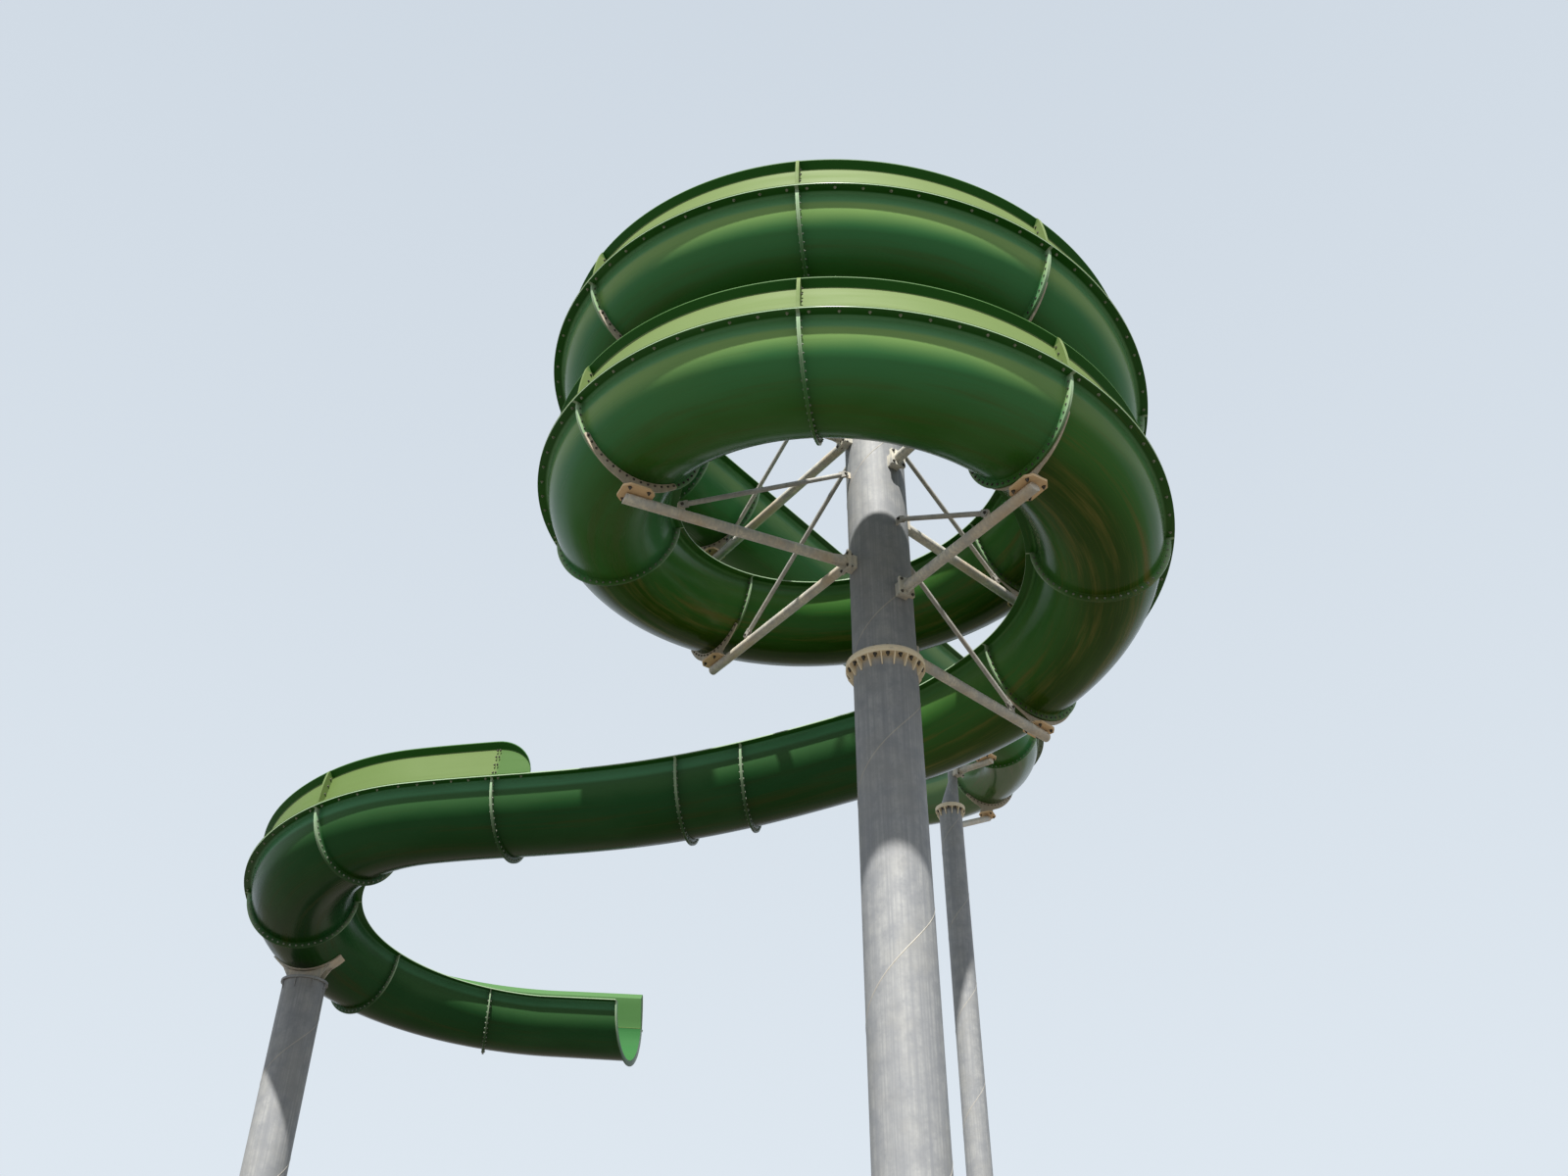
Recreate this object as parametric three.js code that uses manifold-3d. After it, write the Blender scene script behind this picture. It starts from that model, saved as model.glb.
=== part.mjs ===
// Water slide tower: an open flume that comes down around one round steel column.
//
// The flume is one track, laid leg by leg from its upper end: a curve, a straight
// entry run, a spiral of nearly two turns round the column, a straight exit run and
// a large half-turn loop. Trough sections, guard walls and saddles are all placed on it.
//
// Millimetres, +Z up. The origin is the centre of the column's base, on the ground.
// The spiral's front faces -Y. A section's x runs to the right of travel, its y is up
// from the seam, the plane of the trough's two upper edges.

import * as THREE from 'three';
import { mergeVertices } from 'three/addons/utils/BufferGeometryUtils.js';
import Module from 'manifold-3d';

const wasm = await Module();
wasm.setup();

// Driving dimensions of the track

const TRACK_RADIUS = 2376;         // centreline radius of every curve
const PITCH = 1561;                // fall of the spiral in one full turn
const SPIRAL_CENTRE = { x: -277, y: 206 };
const SPIRAL_START = -122.5;       // heading in degrees where the spiral begins
const SPIRAL_END = 530;            // heading where it ends, counted on through the turns
const SEAM_HEIGHT_AT_ZERO = 11150; // seam height at heading 0 of the first turn
const ENTRY_CURVE = 101.25;        // degrees of the curve before the entry run
const ENTRY_RUN = 8900;
const EXIT_RUN = 5100;
const LOOP_TURN = 180;
const RUN_OUT = 1060;
const JOINT_STEP = 45;             // degrees of one curved section
const STEP_ANGLE = 11.25;          // degrees between the stations of a curve
const ENTRY_LAST = 11.25;          // last joint of the entry curve, in degrees before its end
const ENTRY_FIRST = 300;           // first joint of the entry run
const EXIT_JOINTS = [1420, 2120, 4140];
const LOOP_FIRST = 22.5;           // first joint of the loop, in degrees

// The exit run sags between the heading where the sag starts and the turn of the loop
// where it ends.
const SAG = { depth: 300, from_heading: 485, to_turn: 22.5, run_steps: 8 };

// Driving dimensions of the flume

const TROUGH_RADIUS = 589;         // outside of the shell
const SHELL = 12;                  // shell thickness
const RIM_WIDTH = 103;             // seam flange, out from the shell
const RIM_THICKNESS = 14;
const JOINT_FLANGE = 65;           // bolted flange round the shell, at each joint
const JOINT_THICKNESS = 12;
const ARC_SEGMENTS = 8;            // facets of the half-round shell
const WALL_HEIGHT = 405;           // guard wall, from the seam to the root of its lip
const WALL_LEAN = 66;              // how far the wall leans in over that height
const LIP_OUT = 56;
const LIP_RISE = 72;
const WALL_FLANGE = 55;            // bolted ear at each end of a guard wall
const GUARD_LEAD = 400;            // start of the exit's guard wall before its joint
const ROUNDED_END = { length: 420, steps: 5, lowest: 0.12 };
const GAP = 0.3;                   // between pieces that touch
const HALF_JOINT_GAP = 0.2;        // on the centreline, so that the inner edge keeps GAP

// Driving dimensions of the steelwork

const COLUMN_RADIUS = 292;
const COLUMN_TOP = 12900;
const COLUMN_JOINT = 7990;         // height of the bolted flange joint
const COLUMN_FLANGE_RADIUS = 358;
const COLUMN_FLANGE = 32;
const COLUMN_SEGMENTS = 24;
const BASE_PLATE = { width: 1000, thickness: 40 };
const BASE_GUSSET = { reach: 150, height: 260, thickness: 16, count: 4 };
const ARM_RADIUS = 51;
const ARM_DROP = { column: 170, trough: 250 }; // arm axis below the trough's bottom
const ARM_OVERRUN = 95;            // past the trough's lowest line
const TIE_RADIUS = 24;
// Where each arm's tie meets the column, above the arm, and the share of the arm's length
// where it meets the arm
const TIES = {
  arm_1: { rise: 1750, reach: 0.88 },
  arm_2: { rise: 1300, reach: 0.78 },
  arm_3: { rise: 1300, reach: 0.78 },
  arm_4: { rise: 1300, reach: 0.78 },
  arm_5: { rise: 1500, reach: 0.78 },
  arm_6: { rise: 1300, reach: 0.8 },
  arm_7: { rise: 1020, reach: 0.71 },
  arm_8: { rise: 1370, reach: 0.78 },
};
const TIE_LIFT = 40;               // lower end of the tie above the arm's axis
const ARM_GUSSET = { length: 190, height: 230, thickness: 12 };
const SADDLE = {
  thickness: 12,
  clearance: 6,
  depth: 48,                       // below the flange, at the lowest point
  inner_horn: 39,                  // degrees round from the lowest point, support's side
  outer_horn: 59,
  steps: 8,
  shoulder: 170,
  foot: 150,
};
const LOOP_POST = { radius: 254, heading: 84, cap: 30, cap_width: 560 };
const CRADLE = { length: 180, thickness: 16, stand: 130, shoulder: 20 };
const ENTRY_POST = { x: 1760, y: 9250, radius: 181, flange: 236 };
const ENTRY_STUB = {
  length: 760,
  throat: 148,
  throat_rise: 40,
  neck: 76,
  neck_length: 240,
  above_arm: 100,
  lean: 80,                        // how far its neck stands to +X of the pipe
};
const ENTRY_STRUT_DROP = 1400;     // root of the rear strut below the trough's bottom
const POST_PLATE = { width: 760, thickness: 30 };

const GREEN = 0x2f7a35;
const STEEL = 0xb9b6ae;

// Materials, one for each kind of piece

const material = (name, color, roughness, metalness) => {
  const made = new THREE.MeshStandardMaterial({ color, roughness, metalness });
  made.name = name;
  return made;
};
const troughGreen = material('trough_green', GREEN, 0.25, 0.0);
const wallGreen = material('wall_green', 0x86b85a, 0.3, 0.0);
const galvanised = material('galvanised_steel', STEEL, 0.55, 0.7);

const radians = THREE.MathUtils.degToRad;
const tower = new THREE.Group();
tower.name = 'water_slide_tower';

const add = (name, geometry, finish) => {
  const mesh = new THREE.Mesh(geometry, finish);
  mesh.name = name;
  tower.add(mesh);
};

// The track: legs from the upper end down, each with its start, heading and length.
// turn is +1 for a curve to the left of travel, -1 to the right and 0 for a straight.

const SLOPE = PITCH / (2 * Math.PI * TRACK_RADIUS);
const right = (heading) => ({ x: Math.sin(radians(heading)), y: -Math.cos(radians(heading)) });
const forward = (heading) => ({ x: Math.cos(radians(heading)), y: Math.sin(radians(heading)) });
const arcLength = (degrees) => TRACK_RADIUS * radians(degrees);

const spiralSide = right(SPIRAL_START);
const spiralStart = {
  x: SPIRAL_CENTRE.x + TRACK_RADIUS * spiralSide.x,
  y: SPIRAL_CENTRE.y + TRACK_RADIUS * spiralSide.y,
};
const entryWay = forward(SPIRAL_START);
const entryStart = {
  x: spiralStart.x - ENTRY_RUN * entryWay.x,
  y: spiralStart.y - ENTRY_RUN * entryWay.y,
};
const entryCurveCentre = {
  x: entryStart.x + TRACK_RADIUS * spiralSide.x,
  y: entryStart.y + TRACK_RADIUS * spiralSide.y,
};
const topSide = right(SPIRAL_START + ENTRY_CURVE);
const topStart = {
  x: entryCurveCentre.x - TRACK_RADIUS * topSide.x,
  y: entryCurveCentre.y - TRACK_RADIUS * topSide.y,
};

const shapes = [
  { name: 'entry_curve', turn: -1, length: arcLength(ENTRY_CURVE) },
  { name: 'entry_run', turn: 0, length: ENTRY_RUN },
  { name: 'spiral', turn: 1, length: arcLength(SPIRAL_END - SPIRAL_START) },
  { name: 'exit_run', turn: 0, length: EXIT_RUN },
  { name: 'loop', turn: -1, length: arcLength(LOOP_TURN) },
  { name: 'run_out', turn: 0, length: RUN_OUT },
];

const advance = (leg, distance) => {
  const side = right(leg.heading);
  const way = forward(leg.heading);
  if (leg.turn === 0) {
    return {
      x: leg.x + distance * way.x,
      y: leg.y + distance * way.y,
      heading: leg.heading,
    };
  }
  const heading = leg.heading + leg.turn * THREE.MathUtils.radToDeg(distance / TRACK_RADIUS);
  const turned = right(heading);
  return {
    x: leg.x + leg.turn * TRACK_RADIUS * (turned.x - side.x),
    y: leg.y + leg.turn * TRACK_RADIUS * (turned.y - side.y),
    heading,
  };
};

const legs = {};
let reached = { ...topStart, heading: SPIRAL_START + ENTRY_CURVE };
let travelled = 0;
for (const shape of shapes) {
  const leg = { ...shape, ...reached, start: travelled, end: travelled + shape.length };
  legs[shape.name] = leg;
  reached = advance(leg, leg.length);
  travelled = leg.end;
}
const trackLegs = Object.values(legs);

const spiralDistance = (heading) => legs.spiral.start + arcLength(heading - SPIRAL_START);

// The sag runs in straight lines from knot to knot, and every piece has a station at
// each knot, so that pieces lying on each other stay parallel.
const sagKnots = [];
for (let heading = SAG.from_heading; heading < SPIRAL_END; heading += STEP_ANGLE) {
  sagKnots.push(spiralDistance(heading));
}
for (let step = 0; step < SAG.run_steps; step += 1) {
  sagKnots.push(legs.exit_run.start + (EXIT_RUN * step) / SAG.run_steps);
}
for (let turn = 0; turn <= SAG.to_turn; turn += STEP_ANGLE) {
  sagKnots.push(legs.loop.start + arcLength(turn));
}
const sagLength = sagKnots[sagKnots.length - 1] - sagKnots[0];
const sagAtKnot = (knot) => SAG.depth * Math.sin((Math.PI * (knot - sagKnots[0])) / sagLength) ** 2;
const sag = (distance) => {
  const next = sagKnots.findIndex((knot) => knot > distance);
  if (next < 1) {
    return 0;
  }
  const [before, after] = [sagKnots[next - 1], sagKnots[next]];
  const share = (distance - before) / (after - before);
  return sagAtKnot(before) * (1 - share) + sagAtKnot(after) * share;
};

const seamHeight = (distance) =>
  SEAM_HEIGHT_AT_ZERO - SLOPE * (distance - spiralDistance(0)) - sag(distance);

// A station is a point of the centreline with the side direction of its section.
const stationAt = (distance) => {
  const last = trackLegs[trackLegs.length - 1];
  const leg = trackLegs.find((candidate) => distance < candidate.end) ?? last;
  const point = advance(leg, distance - leg.start);
  return { ...point, z: seamHeight(distance), side: right(point.heading) };
};

const place = (station, x, y) =>
  new THREE.Vector3(station.x + station.side.x * x, station.y + station.side.y * x, station.z + y);

// Where the stations between two distances lie: on every step of a curve, at each
// change of leg and at each knot of the sag.
const STATION_SPACE = 5;
const stationsBetween = (from, to) => {
  const inner = sagKnots.filter((knot) => knot > from && knot < to);
  const note = (distance) => {
    if (inner.every((other) => Math.abs(other - distance) > STATION_SPACE)) {
      inner.push(distance);
    }
  };
  for (const leg of trackLegs) {
    if (leg.start > from && leg.start < to) {
      note(leg.start);
    }
    if (leg.turn !== 0) {
      const first = Math.max(from, leg.start);
      const last = Math.min(to, leg.end);
      const steps = Math.round((last - first) / arcLength(STEP_ANGLE));
      for (let index = 1; index < steps; index += 1) {
        note(first + ((last - first) * index) / steps);
      }
    }
  }
  return inner.sort((a, b) => a - b);
};

// A loft joins rings of equally many points and closes both ends flat. Each four-sided
// face is split from its right edge to its left one downstream, above and below alike,
// so that two pieces that lie on each other stay parallel.

const loft = (profiles, distances, placing = (distance) => stationAt(distance)) => {
  const positions = [];
  const known = new Map();
  const number = (point) => {
    const key = [point.x, point.y, point.z].map((value) => Math.round(value * 1000)).join(' ');
    if (!known.has(key)) {
      known.set(key, positions.length / 3);
      positions.push(point.x, point.y, point.z);
    }
    return known.get(key);
  };
  const rings = profiles.map((profile, index) => {
    const station = placing(distances[index]);
    return profile.map((corner) => number(place(station, corner.x, corner.y)));
  });
  const triangles = [];
  const face = (a, b, c) => {
    if (a !== b && b !== c && a !== c) {
      triangles.push(a, b, c);
    }
  };
  for (let ring = 0; ring + 1 < rings.length; ring += 1) {
    const near = rings[ring];
    const far = rings[ring + 1];
    for (let corner = 0; corner < near.length; corner += 1) {
      const next = (corner + 1) % near.length;
      if (profiles[ring][corner].x >= profiles[ring][next].x) {
        face(near[corner], far[next], near[next]);
        face(near[corner], far[corner], far[next]);
      } else {
        face(near[corner], far[corner], near[next]);
        face(near[next], far[corner], far[next]);
      }
    }
  }
  const lastRing = rings.length - 1;
  for (const [a, b, c] of THREE.ShapeUtils.triangulateShape(profiles[0], [])) {
    face(rings[0][a], rings[0][b], rings[0][c]);
  }
  for (const [a, b, c] of THREE.ShapeUtils.triangulateShape(profiles[lastRing], [])) {
    face(rings[lastRing][a], rings[lastRing][c], rings[lastRing][b]);
  }
  const geometry = new THREE.BufferGeometry();
  geometry.setAttribute('position', new THREE.Float32BufferAttribute(positions, 3));
  geometry.setIndex(triangles);
  return geometry;
};

const corner = (x, y) => new THREE.Vector2(x, y);

// Half-round arc of the shell, from the right edge under the trough to the left one.
const halfRound = (radius, drop) => {
  const lead = Math.asin(drop / radius);
  const arc = new THREE.EllipseCurve(0, 0, radius, radius, -lead, -Math.PI + lead, true);
  return arc.getPoints(ARC_SEGMENTS);
};

// Trough: half-round shell with a flat rim on both sides. Its outside is wider where
// it forms the bolted flange of a joint.
const troughProfile = (outside) => {
  const rim = TROUGH_RADIUS + RIM_WIDTH;
  const inner = halfRound(TROUGH_RADIUS - SHELL, 0);
  const outer = halfRound(outside, RIM_THICKNESS).reverse();
  return [
    ...inner,
    corner(-rim, 0),
    corner(-rim, -RIM_THICKNESS),
    ...outer,
    corner(rim, -RIM_THICKNESS),
    corner(rim, 0),
  ];
};
const shellProfile = troughProfile(TROUGH_RADIUS);
const jointProfile = troughProfile(TROUGH_RADIUS + JOINT_FLANGE);

const flangedLoft = (from, to, plain, flanged, thickness, extra = []) => {
  const start = from + HALF_JOINT_GAP;
  const end = to - HALF_JOINT_GAP;
  const middle = [...stationsBetween(from, to), ...extra].sort((a, b) => a - b);
  const distances = [start, start + thickness, start + thickness];
  const profiles = [flanged, flanged, plain];
  for (const distance of middle) {
    distances.push(distance);
    profiles.push(plain);
  }
  distances.push(end - thickness, end - thickness, end);
  profiles.push(plain, flanged, flanged);
  return loft(profiles, distances);
};

const troughSection = (name, from, to, extra) => {
  const geometry = flangedLoft(from, to, shellProfile, jointProfile, JOINT_THICKNESS, extra);
  add(name, geometry, troughGreen);
};

// Guard wall: a foot bolted on the seam flange, a wall that leans in a little and a lip
// that flares out. side is +1 on the right of travel and -1 on the left.
const wallProfile = (side, ear, rise = 1) => {
  const inside = TROUGH_RADIUS - SHELL;
  const foot = RIM_THICKNESS + GAP * 1.5;
  const base = GAP * 1.5;
  const top = foot + (WALL_HEIGHT - foot) * rise;
  const lean = WALL_LEAN * rise;
  const lip = top + LIP_RISE * rise;
  const out = LIP_OUT * rise;
  const points = [
    corner(inside, base),
    corner(TROUGH_RADIUS + RIM_WIDTH, base),
    corner(TROUGH_RADIUS + RIM_WIDTH, foot),
    corner(TROUGH_RADIUS + ear, foot),
    corner(TROUGH_RADIUS - lean + ear, top),
    corner(TROUGH_RADIUS - lean + Math.max(out, ear), lip - SHELL),
    corner(TROUGH_RADIUS - lean + Math.max(out, ear), lip),
    corner(TROUGH_RADIUS - lean + out - SHELL, lip),
    corner(inside - lean, top),
  ];
  return side > 0 ? points : points.map((point) => corner(-point.x, point.y)).reverse();
};

const guardWall = (name, from, to, side, breaks = []) => {
  const plain = wallProfile(side, 0);
  const eared = wallProfile(side, WALL_FLANGE);
  const start = from + HALF_JOINT_GAP;
  const end = to - HALF_JOINT_GAP;
  const rings = [
    [start, eared],
    [start + JOINT_THICKNESS, eared],
    [start + JOINT_THICKNESS, plain],
  ];
  for (const distance of stationsBetween(from, to)) {
    if (breaks.some((joint) => Math.abs(joint - distance) < 1)) {
      rings.push([distance - JOINT_THICKNESS, plain]);
      rings.push([distance - JOINT_THICKNESS, eared]);
      rings.push([distance, eared]);
      rings.push([distance + JOINT_THICKNESS, eared]);
      rings.push([distance + JOINT_THICKNESS, plain]);
    } else {
      rings.push([distance, plain]);
    }
  }
  rings.push([end - JOINT_THICKNESS, plain]);
  rings.push([end - JOINT_THICKNESS, eared]);
  rings.push([end, eared]);
  add(name, loft(rings.map((ring) => ring[1]), rings.map((ring) => ring[0])), wallGreen);
};

// A guard wall whose upstream end rises in a rounded sweep
const sweptWall = (name, from, to, side) => {
  const plain = wallProfile(side, 0);
  const eared = wallProfile(side, WALL_FLANGE);
  const end = to - HALF_JOINT_GAP;
  const distances = stationsBetween(from, to);
  for (let index = 0; index <= ROUNDED_END.steps; index += 1) {
    const distance = from + (ROUNDED_END.length * index) / ROUNDED_END.steps;
    if (distances.every((other) => Math.abs(other - distance) > STATION_SPACE)) {
      distances.push(distance);
    }
  }
  distances.sort((a, b) => a - b);
  const rings = distances.map((distance) => {
    const share = Math.min(1, (distance - from) / ROUNDED_END.length);
    const round = Math.sqrt(1 - (1 - share) ** 2);
    const rise = ROUNDED_END.lowest + (1 - ROUNDED_END.lowest) * round;
    return [distance, wallProfile(side, 0, rise)];
  });
  rings.push([end - JOINT_THICKNESS, plain]);
  rings.push([end - JOINT_THICKNESS, eared]);
  rings.push([end, eared]);
  add(name, loft(rings.map((ring) => ring[1]), rings.map((ring) => ring[0])), wallGreen);
};

// Booleans

const toSolid = (geometry) => {
  const bare = geometry.clone();
  bare.deleteAttribute('normal');
  bare.deleteAttribute('uv');
  const merged = mergeVertices(bare, 1e-3);
  return new wasm.Manifold(new wasm.Mesh({
    numProp: 3,
    vertProperties: new Float32Array(merged.attributes.position.array),
    triVerts: new Uint32Array(merged.index.array),
  }));
};

// Corners closer than WELD become one after a cut or a join, so that no sliver is left.
const WELD = 0.05;

const toGeometry = (solid) => {
  const mesh = solid.getMesh();
  const corners = [];
  const welded = [];
  for (let index = 0; index < mesh.vertProperties.length; index += 3) {
    const point = new THREE.Vector3().fromArray(mesh.vertProperties, index);
    let found = corners.findIndex((other) => other.distanceTo(point) < WELD);
    if (found < 0) {
      found = corners.length;
      corners.push(point);
    }
    welded.push(found);
  }
  const triangles = [];
  for (let index = 0; index < mesh.triVerts.length; index += 3) {
    const [a, b, c] = [0, 1, 2].map((step) => welded[mesh.triVerts[index + step]]);
    if (a !== b && b !== c && a !== c) {
      triangles.push(a, b, c);
    }
  }
  const positions = corners.flatMap((point) => point.toArray());
  const geometry = new THREE.BufferGeometry();
  geometry.setAttribute('position', new THREE.Float32BufferAttribute(positions, 3));
  geometry.setIndex(triangles);
  return geometry;
};

const join = (geometries) =>
  geometries.map(toSolid).reduce((whole, solid) => whole.add(solid));

// A round bar from one point to another
const bar = (from, to, radius, segments) => {
  const direction = new THREE.Vector3().subVectors(to, from);
  const geometry = new THREE.CylinderGeometry(radius, radius, direction.length(), segments);
  geometry.rotateX(Math.PI / 2);
  const towards = new THREE.Matrix4().lookAt(to, from, new THREE.Vector3(0, 0, 1));
  geometry.applyMatrix4(towards);
  const middle = new THREE.Vector3().addVectors(from, to).multiplyScalar(0.5);
  geometry.translate(middle.x, middle.y, middle.z);
  return geometry;
};

// An upright plate: an outline in the plane of a horizontal direction and +Z
const uprightPlate = (outline, origin, angle, thickness) => {
  const shape = new THREE.Shape(outline.map(([along, up]) => corner(along, up)));
  const geometry = new THREE.ExtrudeGeometry(shape, { depth: thickness, bevelEnabled: false });
  geometry.translate(0, 0, -thickness / 2);
  geometry.rotateX(Math.PI / 2);
  geometry.rotateZ(angle);
  geometry.translate(origin.x, origin.y, origin.z);
  return geometry;
};

const upright = (points, segments) => {
  const geometry = new THREE.LatheGeometry(points.map(([r, z]) => corner(r, z)), segments);
  geometry.rotateX(Math.PI / 2);
  return geometry;
};

// Saddle: a crescent plate against the downstream side of a joint's flange, with a foot
// that runs down to the arm. Its longer horn is on the side away from the support, which
// is the right of travel where outside is above 0.
const saddlePlate = (joint, footDepth, outside) => {
  const near = joint + HALF_JOINT_GAP + JOINT_THICKNESS + GAP;
  const left = outside > 0 ? SADDLE.inner_horn : SADDLE.outer_horn;
  const span = SADDLE.inner_horn + SADDLE.outer_horn;
  const crescent = (radiusAt) => {
    const points = [];
    for (let index = 0; index <= SADDLE.steps; index += 1) {
      const turn = (span * index) / SADDLE.steps - left;
      const share = turn / (turn < 0 ? left : span - left);
      const radius = radiusAt(share);
      points.push(corner(radius * Math.sin(radians(turn)), -radius * Math.cos(radians(turn))));
    }
    return points;
  };
  const upper = crescent(() => TROUGH_RADIUS + SADDLE.clearance);
  const lower = crescent((share) =>
    TROUGH_RADIUS + JOINT_FLANGE + SADDLE.depth * Math.cos((share * Math.PI) / 2) ** 2);
  const outline = [
    ...upper.reverse(),
    ...lower.filter((point) => point.x < -SADDLE.shoulder),
    corner(-SADDLE.foot, -footDepth),
    corner(SADDLE.foot, -footDepth),
    ...lower.filter((point) => point.x > SADDLE.shoulder),
  ];
  return loft([outline, outline], [near, near + SADDLE.thickness]);
};

// Bracket arm: from a round support to the saddle under one joint. An arm on the column
// has a tie above it. rootDrop is the arm's root below the trough's bottom.
const bracketArm = (name, support, supportRadius, joint, rootDrop = ARM_DROP.column) => {
  const station = stationAt(joint);
  const bottom = station.z - TROUGH_RADIUS;
  const away = Math.atan2(station.y - support.y, station.x - support.x);
  const reach = Math.hypot(station.y - support.y, station.x - support.x);
  const outside = Math.cos(away) * station.side.x + Math.sin(away) * station.side.y;
  const on = (distance, height) => new THREE.Vector3(
    support.x + Math.cos(away) * distance,
    support.y + Math.sin(away) * distance,
    height,
  );
  const rootHeight = bottom - rootDrop;
  const tipHeight = bottom - ARM_DROP.trough;
  const tip = on(reach + ARM_OVERRUN, tipHeight);
  const gusset = [
    [0, -ARM_GUSSET.height / 2],
    [supportRadius, -ARM_GUSSET.height / 2],
    [supportRadius + ARM_GUSSET.length, 0],
    [supportRadius, ARM_GUSSET.height / 2],
    [0, ARM_GUSSET.height / 2],
  ];
  const pieces = [
    bar(on(0, rootHeight), tip, ARM_RADIUS, 10),
    uprightPlate(gusset, on(0, rootHeight), away, ARM_GUSSET.thickness),
    saddlePlate(joint, TROUGH_RADIUS + ARM_DROP.trough, outside),
  ];
  const tie = TIES[name];
  if (tie) {
    const meet = supportRadius + (reach - supportRadius) * tie.reach;
    const meetHeight = rootHeight + (tipHeight - rootHeight) * tie.reach + TIE_LIFT;
    pieces.push(bar(on(0, rootHeight + tie.rise), on(meet, meetHeight), TIE_RADIUS, 6));
  }
  const hole = new THREE.CylinderGeometry(
    supportRadius + GAP,
    supportRadius + GAP,
    2 * COLUMN_TOP,
    COLUMN_SEGMENTS,
  );
  hole.rotateX(Math.PI / 2);
  hole.translate(support.x, support.y, rootHeight);
  add(name, toGeometry(join(pieces).subtract(toSolid(hole))), galvanised);
};

// Base plate with gussets round a post
const basePlate = (name, centre, radius, plate) => {
  const slab = new THREE.BoxGeometry(plate.width, plate.width, plate.thickness);
  slab.translate(centre.x, centre.y, plate.thickness / 2);
  const gap = GAP * 2;
  const outline = [
    [radius + gap, plate.thickness / 2],
    [radius + gap + BASE_GUSSET.reach, plate.thickness / 2],
    [radius + gap + BASE_GUSSET.reach, plate.thickness * 2],
    [radius + gap, plate.thickness + BASE_GUSSET.height],
  ];
  const origin = new THREE.Vector3(centre.x, centre.y, 0);
  const pieces = [slab];
  for (let index = 0; index < BASE_GUSSET.count; index += 1) {
    const angle = (index * 2 * Math.PI) / BASE_GUSSET.count;
    pieces.push(uprightPlate(outline, origin, angle, BASE_GUSSET.thickness));
  }
  add(name, toGeometry(join(pieces)), galvanised);
};

// Spiral: one short starting section, then sections of one joint step each

const spiralJoints = [SPIRAL_START];
for (let heading = -100; heading <= SPIRAL_END; heading += JOINT_STEP) {
  spiralJoints.push(heading);
}
for (let index = 0; index + 1 < spiralJoints.length; index += 1) {
  const label = String(index + 1).padStart(2, '0');
  const from = spiralDistance(spiralJoints[index]);
  const to = spiralDistance(spiralJoints[index + 1]);
  troughSection(`spiral_${label}`, from, to);
}

const guardJoints = [SPIRAL_START, -55, 35, 125, 215, 305, 395, 485, SPIRAL_END];
for (let index = 0; index + 1 < guardJoints.length; index += 1) {
  const breaks = spiralJoints.map(spiralDistance);
  const from = spiralDistance(guardJoints[index]);
  const to = spiralDistance(guardJoints[index + 1]);
  guardWall(`spiral_guard_${index + 1}`, from, to, 1, breaks);
}

// Entry: the curve and run that bring the flume to the top of the spiral

const ENTRY_ARM_REACH = TRACK_RADIUS * Math.tan(radians(22.5));
const entryFirst = legs.entry_run.start + ENTRY_FIRST;
const entryArm = legs.entry_run.end - ENTRY_ARM_REACH;
const entryJoints = [
  legs.entry_curve.start,
  legs.entry_curve.end - arcLength(ENTRY_LAST + JOINT_STEP),
  legs.entry_curve.end - arcLength(ENTRY_LAST),
  entryFirst,
  (entryFirst + entryArm) / 2,
  entryArm,
  legs.entry_run.end,
];
for (let index = 0; index + 1 < entryJoints.length; index += 1) {
  troughSection(`entry_${index + 1}`, entryJoints[index], entryJoints[index + 1]);
}
guardWall('entry_guard', entryJoints[0], entryJoints[3], -1, entryJoints);

// Exit run and loop

const exitJoints = [
  legs.exit_run.start,
  ...EXIT_JOINTS.map((distance) => legs.exit_run.start + distance),
  legs.loop.start + arcLength(LOOP_FIRST),
];
for (let index = 0; index + 1 < exitJoints.length; index += 1) {
  troughSection(`exit_${index + 1}`, exitJoints[index], exitJoints[index + 1]);
}
const loopJoints = [0, 1, 2, 3].map(
  (index) => legs.loop.start + arcLength(LOOP_FIRST + index * JOINT_STEP),
);
loopJoints.push(legs.run_out.end);
const loopPostDistance = legs.loop.start + arcLength(legs.loop.heading - 360 - LOOP_POST.heading);
const cradleEnds = [
  loopPostDistance - CRADLE.length / 2,
  loopPostDistance + CRADLE.length / 2,
];
for (let index = 0; index + 1 < loopJoints.length; index += 1) {
  const [from, to] = [loopJoints[index], loopJoints[index + 1]];
  const extra = cradleEnds.filter((distance) => distance > from && distance < to);
  troughSection(`loop_${index + 1}`, from, to, extra);
}
sweptWall('exit_guard', exitJoints[3] - GUARD_LEAD, exitJoints[4], -1);
guardWall('loop_guard_1', loopJoints[0], loopJoints[2], -1, loopJoints);
guardWall('loop_guard_2', loopJoints[2], loopJoints[4], -1, loopJoints);

// Column

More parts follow.
